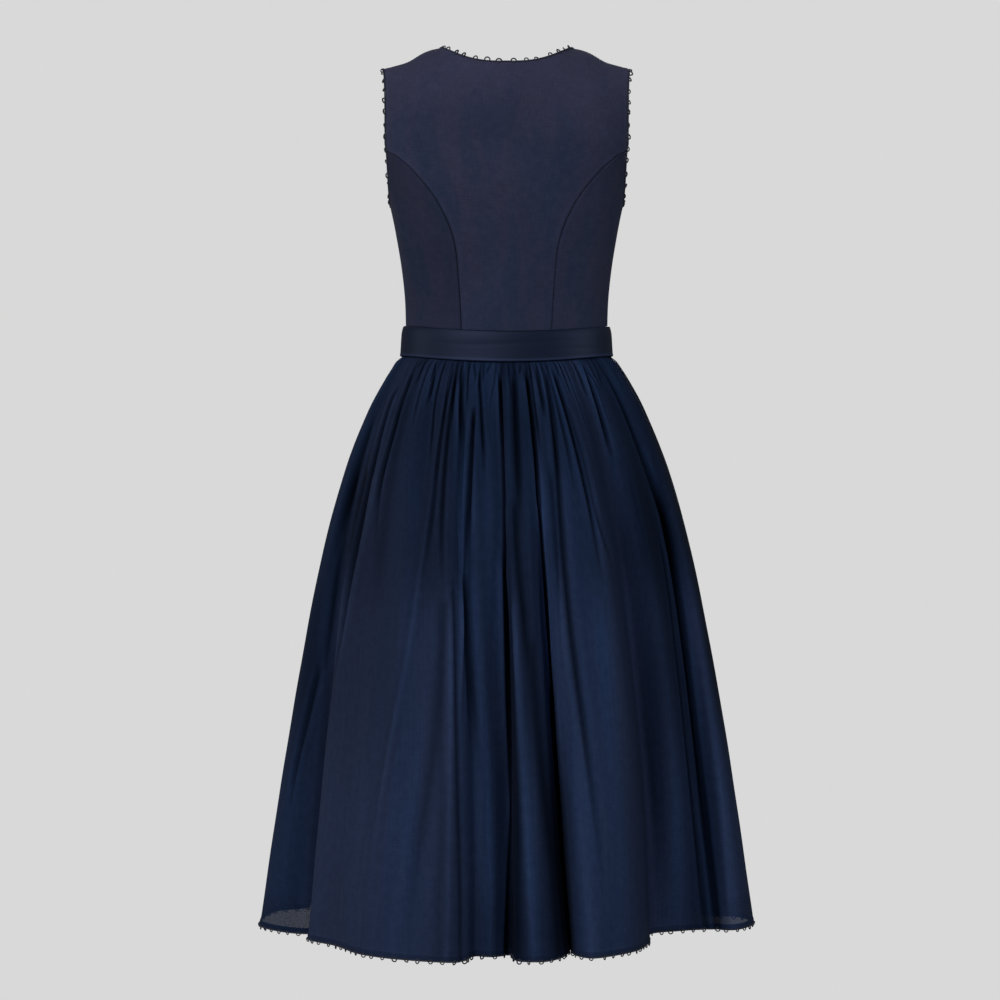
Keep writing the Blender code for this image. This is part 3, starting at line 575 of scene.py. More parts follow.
def table_value(table, places, column=1):
    """A smooth curve through one column of a table, by the place in its first column."""
    rows = np.array(sorted(table))
    grid, values = rows[:, 0], rows[:, column]
    last = len(grid) - 1
    ahead = np.minimum(np.arange(last + 1) + 1, last)
    behind = np.maximum(np.arange(last + 1) - 1, 0)
    slopes = (values[ahead] - values[behind]) / (grid[ahead] - grid[behind])
    index = np.clip(np.searchsorted(grid, places) - 1, 0, last - 1)
    span = grid[index + 1] - grid[index]
    share = np.clip((places - grid[index]) / span, 0.0, 1.0)
    leave, reach = slopes[index] * span, slopes[index + 1] * span
    return hermite(values[index], leave, values[index + 1], reach, share)


def lerp(first, last, share):
    """Partway from first to last."""
    return first + (last - first) * share


def smooth(value):
    """A soft step from 0 at 0 to 1 at 1."""
    value = np.clip(value, 0.0, 1.0)
    return value * value * (3.0 - 2.0 * value)


def power(value, exponent):
    """A power that keeps its value's sign."""
    return np.sign(value) * np.abs(value) ** exponent


def unit(vectors):
    """The same directions, one long."""
    return vectors / np.maximum(np.linalg.norm(vectors, axis=-1, keepdims=True), 1e-9)


def bump(distance, width):
    """A bell of unit height."""
    return np.exp(-(distance / width) ** 2)


def trough(distance, width):
    """A soft crease of unit depth with a low swell on either side."""
    return (bump(distance, width) - 0.4 * bump(distance, 2.2 * width)) / 0.6


def edge_roll(distance, radius):
    """How far cloth that is turned under at an edge has sunk, by its distance from the edge."""
    left = np.clip(radius - distance, 0.0, radius)
    return radius - np.sqrt(np.maximum(radius ** 2 - left ** 2, 0.0))


def outwardness(normals, points):
    """Above zero where the normals of a grid lead away from the dress's middle."""
    return (normals[..., :2] * points[..., :2]).sum()


def normals_of(points, closed=False):
    """Unit normals of a grid of points, away from the dress's middle."""
    if closed:
        across = np.roll(points, -1, axis=1) - np.roll(points, 1, axis=1)
    else:
        across = np.gradient(points, axis=1)
    normals = unit(np.cross(across, np.gradient(points, axis=0)))
    return normals if outwardness(normals, points) > 0.0 else -normals


def distances(points, axis):
    """Length along the cloth from the first row or column of a grid of points."""
    steps = np.linalg.norm(np.diff(points, axis=axis), axis=-1)
    first = np.zeros_like(np.take(steps, [0], axis=axis))
    return np.concatenate([first, np.cumsum(steps, axis=axis)], axis=axis)


def closed_round(grid):
    """A grid with its first column again after its last."""
    return np.concatenate([grid, grid[:, :1]], axis=1)


def late_shares(count, exponent):
    """Shares from 0 to 1 that crowd towards the end."""
    return 1.0 - (1.0 - np.linspace(0.0, 1.0, count + 1)) ** exponent


def crowded(count):
    """Shares from 0 to 1 that crowd towards both ends."""
    even = np.linspace(0.0, 1.0, count + 1)
    return 0.35 * even + 0.65 * (0.5 - 0.5 * np.cos(math.pi * even))


# Bodice form. Its points are named by an angle from the centre back, positive to the wearer's
# left, and by a rise over the shoulder blades along the cloth.


def ring_point(angle, level, stand=0.0):
    """Side and back of a point on one of the torso's rings, or standing off it."""
    half = table_value(TORSO, level, HALF_WIDTH) + stand
    behind = table_value(TORSO, level, BEHIND)
    before = table_value(TORSO, level, BEFORE)
    depth = np.where(np.cos(angle) > 0.0, behind, before) + stand
    share = 2.0 / table_value(TORSO, level, SQUARE)
    return half * power(np.sin(angle), share), depth * power(np.cos(angle), share)


def arch_height(angle):
    """Height of the shoulder line over the shoulder blades."""
    side = np.abs(ring_point(angle, BLADE_LEVEL)[0])
    return table_value(SHOULDER_LINE, side) - BLADE_LEVEL


def bodice_point(angle, rise):
    """The ring at its level below the shoulder blades, and an arch to the shoulder over them."""
    level = BLADE_LEVEL + np.minimum(rise, 0.0)
    side, back = ring_point(angle, level)
    arch = arch_height(angle)
    turn = np.clip(rise / arch, 0.0, QUARTER_TURN)
    height = np.where(rise > 0.0, BLADE_LEVEL + arch * np.sin(turn), level)
    back = np.where(rise > 0.0, back * np.cos(turn), back)
    cup = bump(np.abs(side) - CUP_SIDE, CUP_SPREAD) * bump(height - CUP_LEVEL, CUP_SPREAD)
    hollow = bump(side, HOLLOW_WIDTH) * bump(height - HOLLOW_LEVEL, HOLLOW_HEIGHT)
    shaped = np.where(back < 0.0, back - CUP_DEPTH * cup, back - HOLLOW_DEPTH * hollow)
    return np.stack([side, shaped, height], axis=-1)


def rise_at(angle, height):
    """Rise along the cloth at which the bodice has a height."""
    arch = arch_height(angle)
    above = arch * np.arcsin(np.clip((height - BLADE_LEVEL) / arch, 0.0, 1.0))
    return np.where(height <= BLADE_LEVEL, height - BLADE_LEVEL, above)


def angle_at(side, level, half):
    """Angle at which a ring has a distance from the centre line, in one half."""
    share = np.clip(side / table_value(TORSO, level, HALF_WIDTH), 0.0, 1.0)
    return half.turned(np.arcsin(share ** (table_value(TORSO, level, SQUARE) / 2.0)))


def armhole_edge(share, half):
    """Angle and rise on the armhole, from the underarm (0) to the shoulder seam (1)."""
    turn = np.clip(share / ARMHOLE_FOOT_SHARE, 0.0, 1.0) * QUARTER_TURN
    level = BLADE_LEVEL + (UNDERARM_LEVEL - BLADE_LEVEL) * np.cos(turn)
    depth = table_value(TORSO, level, half.depth_column)
    square = table_value(TORSO, level, SQUARE)
    ratio = (half.armhole_width * np.sin(turn) / depth) ** (square / 2.0)
    foot_angle = half.turned(np.arccos(ratio))
    climb = np.clip((share - ARMHOLE_FOOT_SHARE) / (1.0 - ARMHOLE_FOOT_SHARE), 0.0, 1.0)
    side = lerp(half.armhole_side, SHOULDER_HALF, climb ** ARMHOLE_FLARE)
    angle = angle_at(side, BLADE_LEVEL, half)
    tip_arch = arch_height(angle_at(SHOULDER_HALF, BLADE_LEVEL, half))
    rise = np.minimum(climb * tip_arch, arch_height(angle)) * QUARTER_TURN
    low = share < ARMHOLE_FOOT_SHARE
    return np.where(low, foot_angle, angle), np.where(low, level - BLADE_LEVEL, rise)


def armhole_share_at(level):
    """Share along the armhole's curved foot at one level below the shoulder blades."""
    turn = math.acos((level - BLADE_LEVEL) / (UNDERARM_LEVEL - BLADE_LEVEL))
    return ARMHOLE_FOOT_SHARE * turn / QUARTER_TURN


def princess_edge(share, half):
    """Angle and rise on a princess seam, from the waist (0) to the armhole (1)."""
    level = lerp(BODICE_FOOT, half.seam_top, share)
    angle = angle_at(table_value(half.seam, level), level, half)
    tip = armhole_edge(armhole_share_at(half.seam_top), half)[0]
    end = smooth((share - SEAM_END_SHARE) / (1.0 - SEAM_END_SHARE))
    return lerp(angle, tip, end), level - BLADE_LEVEL


def neck_height(side, half):
    """Height of the neckline, below its ends at the shoulder seams."""
    outer = np.clip(np.abs(side) / NECK_HALF, 0.0, 1.0)
    return -half.neck_drop * (1.0 - outer ** half.neck_roundness)


def top_rise(angle, half):
    """Rise of the bodice's upper edge: the neckline, then the shoulder seam."""
    side = np.abs(ring_point(angle, BLADE_LEVEL)[0])
    on_neck = rise_at(angle, neck_height(side, half))
    return np.where(side < NECK_HALF, on_neck, arch_height(angle) * QUARTER_TURN)


NECK_ANGLE = float(angle_at(NECK_HALF, BLADE_LEVEL, BACK))


def centre_panel(half):
    """Angles and rises of half a centre panel, from the centre line to its outer edge."""
    seam_angle, seam_rise = princess_edge(late_shares(SEAM_ROWS, 1.3), half)
    arm_share = np.linspace(armhole_share_at(half.seam_top), 1.0, ARMHOLE_ROWS + 1)[1:]
    arm_angle, arm_rise = armhole_edge(arm_share, half)
    edge = half.turned(np.concatenate([seam_angle, arm_angle]))
    rise = np.concatenate([seam_rise, arm_rise])
    foot, seam, tip = rise[0], rise[SEAM_ROWS], rise[-1]

    climb = np.clip((rise - foot) / (seam - foot), 0.0, 1.0)
    foot_neck = edge[0] * NECK_ANGLE / edge[SEAM_ROWS]
    neck = lerp(foot_neck, NECK_ANGLE, climb)[:, None]
    even = np.linspace(0.0, 1.0, NECK_COLUMNS + 1)
    inner = late_shares(NECK_COLUMNS, 1.5) if half.is_front else even
    outer = late_shares(SHOULDER_COLUMNS, 1.7)[1:]
    angles = np.concatenate([neck * inner, lerp(neck, edge[:, None], outer)], axis=1)

    top = half.turned(angles[-1])
    on_neck = np.clip(np.abs(ring_point(top, BLADE_LEVEL)[0]) / NECK_HALF, 0.0, 1.0)
    seam_line = seam - half.row_dip * (1.0 - on_neck) ** 2
    below = lerp(foot, seam_line, climb[: SEAM_ROWS + 1, None])
    over = (rise[SEAM_ROWS + 1 :, None] - seam) / (tip - seam)
    above = lerp(seam_line, top_rise(top, half), over)
    return half.turned(angles), np.concatenate([below, above])


def side_panel(half):
    """Angles and rises of a side panel, from its princess seam to the side seam."""
    seam_angle, seam_rise = princess_edge(np.linspace(0.0, 1.0, SIDE_ROWS + 1), half)
    low = SIDE_ROWS // 2
    corner = armhole_share_at(half.seam_top - SIDE_CORNER_DROP)
    arm_angle, arm_rise = armhole_edge(np.linspace(0.0, corner, SIDE_ROWS - low + 1)[1:], half)
    side_rise = np.linspace(BODICE_FOOT, UNDERARM_LEVEL, low + 1) - BLADE_LEVEL
    far_angle = np.concatenate([np.full(low + 1, QUARTER_TURN), arm_angle])
    far_rise = np.concatenate([side_rise, arm_rise])
    across = crowded(SIDE_COLUMNS)
    angles = lerp(seam_angle[:, None], far_angle[:, None], across)
    rises = lerp(seam_rise[:, None], far_rise[:, None], across)
    return angles, rises


def girth_at(angle):
    """Length round the torso from the centre back, where the weave is measured."""
    steps = 1440
    turns = np.linspace(-math.pi, math.pi, steps + 1)
    lengths = distances(np.stack(ring_point(turns, UNDERARM_LEVEL), axis=-1), 0)
    return np.interp(angle, turns, lengths - lengths[steps // 2])


# Skirt form. Its points are named by a place round the rows of FOLDS and by the share of the
# way from the upper edge to the hem.


def waist_dip(angle):
    """How much lower the waistband runs at the back than at the sides and the front."""
    return BAND_DIP * np.clip(np.cos(angle), 0.0, 1.0) ** 2


def fold_plan(places, shares):
    """Plan places, as shares of the half width and the depth, by share and by place."""
    waist, knee_side, knee_back, hem_side, hem_back = np.array(list(FOLDS.values())).T
    angle = np.radians(waist)
    share = shares[:, None]
    at_waist = (1.0 - share) * (1.0 - 2.0 * share)
    at_knee = 4.0 * share * (1.0 - share)
    at_hem = share * (2.0 * share - 1.0)
    side = np.sin(angle) * at_waist + knee_side * at_knee + hem_side * at_hem
    back = np.cos(angle) * at_waist + knee_back * at_knee + hem_back * at_hem
    folds = np.stack([side, back], axis=-1)

    first = np.floor(places).astype(int)
    inner = (places - first)[None, :, None]
    p0, p1, p2, p3 = (folds[:, (first + offset) % FOLD_COUNT] for offset in (-1, 0, 1, 2))
    lead, span, tail = (
        np.sqrt(np.linalg.norm(b - a, axis=-1, keepdims=True))
        for a, b in ((p0, p1), (p1, p2), (p2, p3))
    )
    leave = span * ((p1 - p0) / lead - (p2 - p0) / (lead + span) + (p2 - p1) / span)
    reach = span * ((p2 - p1) / span - (p3 - p1) / (span + tail) + (p3 - p2) / tail)
    return hermite(p1, leave, p2, reach, inner)


def skirt_points(plan, shares):
    """Points of the skirt's cloth, in millimetres, by where they lie in plan."""
    side, back = plan[..., 0], plan[..., 1]
    share = shares[:, None]
    fall = share * SKIRT_LENGTH
    half = table_value(SKIRT_FORM, fall, HALF_WIDTH)
    behind = table_value(SKIRT_FORM, fall, BEHIND)
    before = table_value(SKIRT_FORM, fall, BEFORE)
    top = BAND_TOP - BAND_HEIGHT + SKIRT_TUCK - waist_dip(np.arctan2(side, back))
    level = lerp(top, HEM_LEVEL, share)
    return np.stack([side * half, back * np.where(back > 0, behind, before), level], axis=-1)


def even_places(first, last, columns):
    """Places across one width that lie evenly along its cloth, from first to last."""
    fine = np.linspace(first, last, (last - first) * 60 + 1)
    shares = np.array([0.02, 0.12, 0.3, 0.6])
    lengths = distances(skirt_points(fold_plan(fine, shares), shares), 1).mean(axis=0)
    return np.interp(np.linspace(0.0, lengths[-1], columns + 1), lengths, fine)


def painted_crease_shade(gap, width):
    """Painted shade along a crease, with a painted highlight on either side."""
    beside = bump(np.abs(gap) - 2.1 * width, 0.9 * width)
    return bump(gap, 0.75 * width) - 0.35 * beside


class Relief:
    """How far each point of the skirt's ring sinks, and how much painted shade darkens it."""

    def __init__(self, lengths, places):
        self.lengths = lengths
        self.places = places
        self.sink = np.zeros(lengths.shape)
        self.shade = np.zeros(lengths.shape)

    def cut(self, crease, ease, painted_shade_per_mm):
        """Adds one crease, which sinks in over its ease and fades late, with painted shade along
        it.
        """
        start, end, *path, depth, width = crease
        along = (SKIRT_FALLS - start) / (end - start)
        fade = smooth((SKIRT_FALLS - start) / ease) * (along < 1.0)
        fade = fade * smooth((1.0 - along) / CREASE_FADE_SHARE)
        stops = list(zip((0.0, 1 / 3, 2 / 3, 1.0), path))
        spine = table_value(stops, np.clip(along, 0.0, 1.0))
        widths = width * lerp(0.5, 1.0, smooth(SKIRT_FALLS / CREASE_FULL_WIDTH_FALL))
        for row in np.flatnonzero(fade > 0.001):
            middle = np.interp(spine[row], self.places, self.lengths[row])
            gap = self.lengths[row] - middle
            self.sink[row] += depth * fade[row] * trough(gap, widths[row])
            # Painted shade along the crease, with painted highlights beside it.
            self.shade[row] += painted_shade_per_mm * depth * fade[row] * painted_crease_shade(gap, widths[row])


def front_creases():
    """The back's creases again, mirrored over the front widths and a little shallower."""
    shrink = (FOLD_COUNT - RIGHT_SIDE) / RIGHT_SIDE
    for start, end, *path, depth, width in CREASES.values():
        moved = [FOLD_COUNT - place * shrink for place in path]
        yield (start, end, *moved, FRONT_CREASE_SHARE * depth, width)


def gathers(lengths, places, settings):
    """Fine gathers under the band, uneven in spacing, depth and length."""
    draw = np.random.default_rng(settings.gather_seed)
    count = settings.gather_count
    ring = lengths[1, -1]
    jitter = draw.uniform(-GATHER_JITTER, GATHER_JITTER, count)
    spots = (np.arange(count) + jitter) / count * ring
    for spot in spots:
        place = np.interp(spot, lengths[1], places)
        drift = draw.uniform(-GATHER_DRIFT, GATHER_DRIFT)
        end = draw.uniform(*GATHER_ENDS) + GATHER_LONGEST * draw.uniform(0.0, 1.0) ** 3
        depth = draw.uniform(*GATHER_DEPTHS) * settings.gather_depth / MM
        width = draw.uniform(*GATHER_WIDTHS)
        path = (place, place + drift / 3, place + drift, place + drift)
        yield (GATHER_TOP, end, *path, depth, width)


def ripples(points, seed, wavelength, depth):
    """Low, uneven waves over a piece of cloth, so that it never lies quite flat."""
    draw = np.random.default_rng(seed)
    result = np.zeros(points.shape[:-1])
    for _ in range(RIPPLE_WAVES):
        direction = unit(draw.normal(size=3))
        pitch = wavelength * draw.uniform(*RIPPLE_PITCHES)
        result += np.sin(points @ direction * 2 * math.pi / pitch + draw.uniform(0.0, 6.3))
    return depth * result / RIPPLE_WAVES


def painted_skirt_light(places, shares):
    """Painted light and shade on the skirt's cloth, by share and by place."""
    painted_light = table_value(SKIRT_HUE_AND_PAINTED_LIGHT, places, WAIST)
    for column, start, span in PAINTED_LIGHT_STEPS:
        step = smooth((shares - start) / span)[:, None]
        painted_light = lerp(painted_light, table_value(SKIRT_HUE_AND_PAINTED_LIGHT, places, column), step)
    # Painted light just under the band, and painted shade near the hem at the centre back.
    painted_light_under_band = smooth((0.12 - shares) / 0.08)[:, None]
    painted_shade_at_centre_hem = np.outer(smooth((shares - 0.86) / 0.1), bump(places - 11.2, 2.2))
    return painted_light * (1.0 + 0.25 * painted_light_under_band) * (1.0 - 0.35 * painted_shade_at_centre_hem)


def cloth_purple(places, shares):
    """How purple the skirt's cloth is: bluer towards the waist."""
    blue = 0.24 * smooth((0.6 - shares) / 0.55)
    return np.clip(table_value(SKIRT_HUE_AND_PAINTED_LIGHT, places, PURPLE) - blue[:, None], 0.0, 1.0)


# Finishes


class Wire:
    """A shader socket that adds, subtracts and multiplies through Python's own operators."""

    def __init__(self, finish, socket):
        self.finish = finish
        self.socket = socket

    def maths(self, operation, first, second):
        """A Math node on two numbers or wires."""
        return self.finish.node(
            "ShaderNodeMath", {"operation": operation}, {0: first, 1: second}
        )

    def __add__(self, other):
        return self.maths("ADD", self, other)

    def __sub__(self, other):
        return self.maths("SUBTRACT", self, other)

    def __rsub__(self, other):
        return self.maths("SUBTRACT", other, self)

    def __mul__(self, other):
        return self.maths("MULTIPLY", self, other)

    __radd__ = __add__
    __rmul__ = __mul__


class Finish:
    """One material, put together from nodes."""

    def __init__(self, name):
        self.material = bpy.data.materials.new(name)
        self.material.use_nodes = True
        self.tree = self.material.node_tree
        self.tree.nodes.clear()

    def node(self, kind, settings=None, inputs=None, output=0):
        """A new node with its settings and the values or wires of its sockets."""
        made = self.tree.nodes.new(kind)
        for name, value in (settings or {}).items():
            setattr(made, name, value)
        for name, value in (inputs or {}).items():
            if isinstance(value, Wire):
                self.tree.links.new(value.socket, made.inputs[name])
            elif isinstance(value, Color):
                made.inputs[name].default_value = (*value, 1.0)
            else:
                made.inputs[name].default_value = value
        return Wire(self, made.outputs[output]) if made.outputs else None

    def place(self, stretch=(1.0, 1.0)):
        """The cloth's own place, in metres across and up, scaled."""
        place = self.node("ShaderNodeUVMap", {"uv_map": "UVMap"})
        return self.node("ShaderNodeMapping", {}, {"Vector": place, "Scale": (*stretch, 1.0)})

    def noise(self, place, scale, detail=2.0, roughness=0.5):
        """Soft noise, finer where its scale is larger."""
        return self.node(
            "ShaderNodeTexNoise",
            {},
            {"Vector": place, "Scale": scale, "Detail": detail, "Roughness": roughness},
        )

    def cloth_noise(self, stretch, scale, detail=2.0, roughness=0.5):
        """Noise on the cloth's own place, drawn out where a stretch is below 1."""
        return self.noise(self.place(stretch), scale, detail, roughness)

    def threads(self, direction, per_metre):
        """Lines across or up the cloth, so many to the metre."""
        return self.node(
            "ShaderNodeTexWave",
            {"wave_type": "BANDS", "bands_direction": direction},
            {"Vector": self.place(), "Scale": per_metre / 20.0 * math.pi, "Distortion": 0.0},
        )

    def painted(self, name):
        """The values that paint() has stored on the piece."""
        return self.node("ShaderNodeAttribute", {"attribute_name": name}, output="Fac")

    def mix(self, share, first, second):
        """Two colours mixed; the node's colour sockets are known by number alone."""
        inputs = {0: share, 6: first, 7: second}
        return self.node("ShaderNodeMix", {"data_type": "RGBA"}, inputs, output=2)

    def toned(self, colour, painted_light):
        """A colour made lighter or darker."""
        inputs = {0: colour, "Scale": painted_light}
        return self.node("ShaderNodeVectorMath", {"operation": "SCALE"}, inputs)

    def relief(self, height, strength, distance):
        """The surface's normals, bent by a height over a distance in metres."""
        inputs = {"Height": height, "Strength": strength, "Distance": distance}
        return self.node("ShaderNodeBump", {}, inputs)

    def band(self, value, low, high):
        """A smooth step from 0 at low to 1 at high."""
        inputs = {"Value": value, "From Min": low, "From Max": high}
        return self.node("ShaderNodeMapRange", {"interpolation_type": "SMOOTHSTEP"}, inputs)

    def surface(self, inputs, kind="ShaderNodeBsdfPrincipled"):
        """Ends the material in its shader."""
        shader = self.node(kind, {}, inputs)
        self.node("ShaderNodeOutputMaterial", {}, {"Surface": shader})
        return self.material


def bodice_finish(colours):
    """Matte plain weave with fine slubs, in soft purple and blue bands."""
    finish = Finish("bodice_cloth")
    warp_slubs = finish.cloth_noise((1.0, 0.12), scale=620.0, detail=3.0, roughness=0.6)
    weft_slubs = finish.cloth_noise((0.12, 1.0), scale=620.0, detail=3.0, roughness=0.6)
    mottle = finish.cloth_noise((1.0, 1.0), scale=90.0, detail=3.0, roughness=0.6)
    bands = finish.cloth_noise((1.0, 0.3), scale=24.0, detail=3.0, roughness=0.55)
    clouds = finish.cloth_noise((1.0, 1.0), scale=11.0)
    hue = finish.band(finish.painted("purple") + bands * 1.8 + mottle * 0.6, 1.15, 2.15)
    grain = warp_slubs * 0.3 + weft_slubs * 0.3 + mottle * 0.15 + clouds * 0.25
    grain = finish.band(grain, 0.4, 0.62) * 0.28 + 0.86
    colour = finish.mix(hue, colours.bodice_blue, colours.bodice_purple)
    weave = finish.threads("X", 1500.0) + finish.threads("Y", 1500.0)
    height = weave * 0.25 + warp_slubs * 0.5 + weft_slubs * 0.5
    return finish.surface({
        # Base colour scaled by the painted light and shade stored on the panel, and by the
        # weave's grain.
        "Base Color": finish.toned(colour, finish.painted("painted_light") * grain),
        "Roughness": 0.9,
        "Specular IOR Level": 0.15,
        "Specular Tint": (0.6, 0.7, 1.0, 1.0),
        "Sheen Weight": 0.03,
        "Sheen Roughness": 0.5,
        "Normal": finish.relief(height, strength=0.2, distance=0.0004),
    })


def band_finish(colours):
    """Satin with a soft gloss and faint streaks along the band."""
    finish = Finish("band_satin")
    streaks = finish.cloth_noise((0.05, 1.0), scale=500.0, detail=3.0, roughness=0.55)
    clouds = finish.cloth_noise((0.35, 1.0), scale=26.0)
    shade = finish.band(streaks * 0.4 + clouds * 0.6, 0.35, 0.68)
    colour = finish.mix(shade, colours.band_dark, colours.band_light)
    return finish.surface({
        # Base colour scaled by the painted highlights and shadows stored on the band.
        "Base Color": finish.toned(colour, finish.painted("painted_light")),
        "Roughness": 0.5,
        "Specular IOR Level": 0.22,
        "Specular Tint": (0.5, 0.6, 1.0, 1.0),
        "Normal": finish.relief(streaks, strength=0.2, distance=0.0003),
    })


def skirt_finish(colours, settings):
    """Shot satin, purple one way and blue the other, sheer where one layer hangs at the hem."""
    finish = Finish("skirt_satin")
    streaks = finish.cloth_noise((1.0, 0.03), scale=300.0, detail=3.0, roughness=0.6)
    slubs = finish.cloth_noise((0.06, 1.0), scale=700.0, detail=3.0, roughness=0.6)
    mottle = finish.cloth_noise((1.0, 0.5), scale=160.0, detail=3.0, roughness=0.65)
    speckle = finish.cloth_noise((1.0, 1.0), scale=750.0, detail=2.0, roughness=0.6)
    bands = finish.cloth_noise((1.0, 0.06), scale=60.0, detail=3.0, roughness=0.55)
    hue = finish.band(finish.painted("purple") + bands * 0.9 + mottle * 0.3, 0.45, 1.75)
    grain = streaks * 0.22 + slubs * 0.2 + mottle * 0.33 + speckle * 0.25
    grain = finish.band(grain, 0.36, 0.64) * 0.32 + 0.82
    colour = finish.mix(hue, colours.skirt_blue, colours.skirt_purple)
    # Base colour scaled by the painted light and shade stored on the skirt, and by the weave's
    # grain.
    cloth = finish.toned(colour, finish.painted("painted_light") * grain)

    place = finish.node("ShaderNodeUVMap", {"uv_map": "UVMap"})
    up = finish.node("ShaderNodeSeparateXYZ", {}, {"Vector": place}, output="Y")
    hem = finish.band(up, settings.hem_band, settings.hem_band - 0.0006)
    low = finish.band(up, settings.sheer_height + 0.02, settings.sheer_height)
    open_weave = finish.band(speckle, 0.2, 0.55)
    sheer = low * (1.0 - hem) * finish.painted("sheer") * open_weave
    return finish.surface({
        "Base Color": finish.mix(hem * 0.35, cloth, colours.band_dark),
        "Roughness": 0.6,
        "Specular IOR Level": 0.05,
        "Specular Tint": (0.3, 0.5, 1.0, 1.0),
        "Sheen Weight": 0.015,
        "Sheen Tint": (0.6, 0.7, 1.0, 1.0),
        "Sheen Roughness": 0.4,
        "Alpha": 1.0 - sheer * settings.sheer_share,
        "Normal": finish.relief(streaks + slubs, strength=0.12, distance=0.0004),
    })


def lining_finish(colours):
    """Plain, dull cloth with a faint warp."""
    finish = Finish("lining_cloth")
    weave = finish.cloth_noise((1.0, 0.2), scale=500.0)
    return finish.surface({
        "Base Color": finish.mix(weave, colours.lining, colours.band_dark),
        "Roughness": 0.6,
        "Specular IOR Level": 0.08,
        "Specular Tint": (0.4, 0.5, 1.0, 1.0),
        "Normal": finish.relief(weave, strength=0.1, distance=0.0003),
    })


def cord_finish(colours):
    """Crocheted cord, with a fine twist along it."""
    finish = Finish("picot_cord")
    twist = finish.noise(finish.node("ShaderNodeTexCoord", output="Object"), 1800.0)
    return finish.surface({
        "Base Color": finish.mix(twist, colours.cord, colours.cord_light),
        "Roughness": 0.8,
        "Normal": finish.relief(twist, strength=0.4, distance=0.0004),
    })


# Pieces


def settled(piece, node, material):
    """Gives a finished piece its material and its place in the frame."""
    piece.data.materials.clear()
    piece.data.materials.append(material)
    piece.data.shade_smooth()
    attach(piece, "root")
    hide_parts(node)


def flat_grid(name, rows, columns):
    """A new flat grid, and the row and column of each of its vertices."""
    bpy.ops.object.select_all(action="DESELECT")
    bpy.ops.mesh.primitive_grid_add(x_subdivisions=columns, y_subdivisions=rows, size=1.0)
    piece = bpy.context.object
    piece.name = name
    flat = np.empty(len(piece.data.vertices) * 3)
    piece.data.vertices.foreach_get("co", flat)
    flat = flat.reshape(-1, 3) + 0.5
    column = np.rint(flat[:, 0] * columns).astype(int)
    row = np.rint(flat[:, 1] * rows).astype(int)
    return piece, row, column


def paint(piece, name, values):
    """Stores one value for each vertex, for the finish to read."""
    layer = piece.data.attributes.new(name, "FLOAT", "POINT")
    layer.data.foreach_set("value", values)


def cloth_piece(name, points, across, up, wall, tints_and_painted_light):
    """A sheet of cloth on a grid of points, with its own place in metres as its UV map.

    Its tints and its painted light and shade are grids of values, stored on it by name.
    """
    grids = {"points": points, "across": across, "up": up, **tints_and_painted_light}
    facing = np.cross(np.gradient(points, axis=1), np.gradient(points, axis=0))
    if outwardness(facing, points) < 0.0:
        grids = {key: grid[:, ::-1] for key, grid in grids.items()}
    piece, row, column = flat_grid(name, points.shape[0] - 1, points.shape[1] - 1)
    points, across, up, *stored_grids = (grid[row, column] for grid in grids.values())
    mesh = piece.data
    mesh.vertices.foreach_set("co", (points * MM).ravel())
    corners = np.empty(len(mesh.loops), dtype=int)
    mesh.loops.foreach_get("vertex_index", corners)
    place = np.stack([across, up], axis=-1) * MM
    mesh.uv_layers.active.data.foreach_set("uv", place[corners].ravel())
    mesh.update()
    shell = piece.modifiers.new("cloth thickness", "SOLIDIFY")
    shell.thickness = wall
    shell.offset = -1.0
    for stored_name, values in zip(tints_and_painted_light, stored_grids):
        paint(piece, stored_name, values)
    return piece


def seam_finish(points, seam_gap, top_gap):
    """Turns a panel's edges under, with a low ridge over the seam allowance and the facing."""
    sink = np.maximum(edge_roll(seam_gap, SEAM_ROLL), edge_roll(top_gap, EDGE_ROLL))
    sink = sink - ALLOWANCE_RIDGE * bump(seam_gap - ALLOWANCE_MIDDLE, 2.4)
    sink = sink - FACING_RIDGE * bump(top_gap - FACING_MIDDLE, 2.0)
    points = points - normals_of(points) * sink[..., None]
    lap = SEAM_LAP * bump(seam_gap, 0.4)
    lap[:, : lap.shape[1] // 2] *= -1.0
    return points + unit(np.gradient(points, axis=1)) * lap[..., None]


def painted_bodice_light(name, rises, seam_gap, top_gap):
    """Painted shade in a panel's seams, painted light at the shoulders, painted shade at the
    sides.
    """
    # Painted shade in each seam's groove and a painted highlight on the ridge beside it, fading
    # lower down.
    pressed = 0.35 + 0.65 * smooth((rises + 200.0) / 110.0)
    ridge, groove = bump(seam_gap - 4.5, 2.0), bump(seam_gap, 1.3)
    painted_light = 1.0 + pressed * (0.1 * ridge - 0.45 * groove)
    if "side" not in name:
        # Painted light over the shoulders.
        shoulder = smooth((rises - 20.0) / 110.0)
        return painted_light * (1.0 + 0.22 * shoulder)
    # Painted shade on a side panel, darker at the armhole.
    light, darker = SIDE_SHADES[name.rsplit("_", 1)[1]]
    return painted_light * (light - darker * bump(top_gap, SIDE_SHADE_DEPTH))


def build_panel(name, angles, rises, flat, area, wall, material):
    """One panel of the bodice, on a grid of angles and rises."""
    points = bodice_point(angles, rises)
    uneven = ripples(points, seed=11, wavelength=110.0, depth=0.5)
    points = points - normals_of(points) * uneven[..., None]
    across, up = distances(points, 1), distances(points, 0)
    seam_gap = np.minimum(across, across[:, -1:] - across)
    top_gap = up[-1:] - up
    points = seam_finish(points, seam_gap, top_gap)
    # Painted light and shade, and how purple the weave is.
    tints_and_painted_light = {
        "painted_light": painted_bodice_light(name, rises, seam_gap, top_gap),
        "purple": 0.4 + 0.45 * smooth((rises + 30.0) / 150.0),
    }
    piece = cloth_piece(name + "_panel", points, girth_at(angles), rises, wall, tints_and_painted_light)
    settled(piece, name, material)


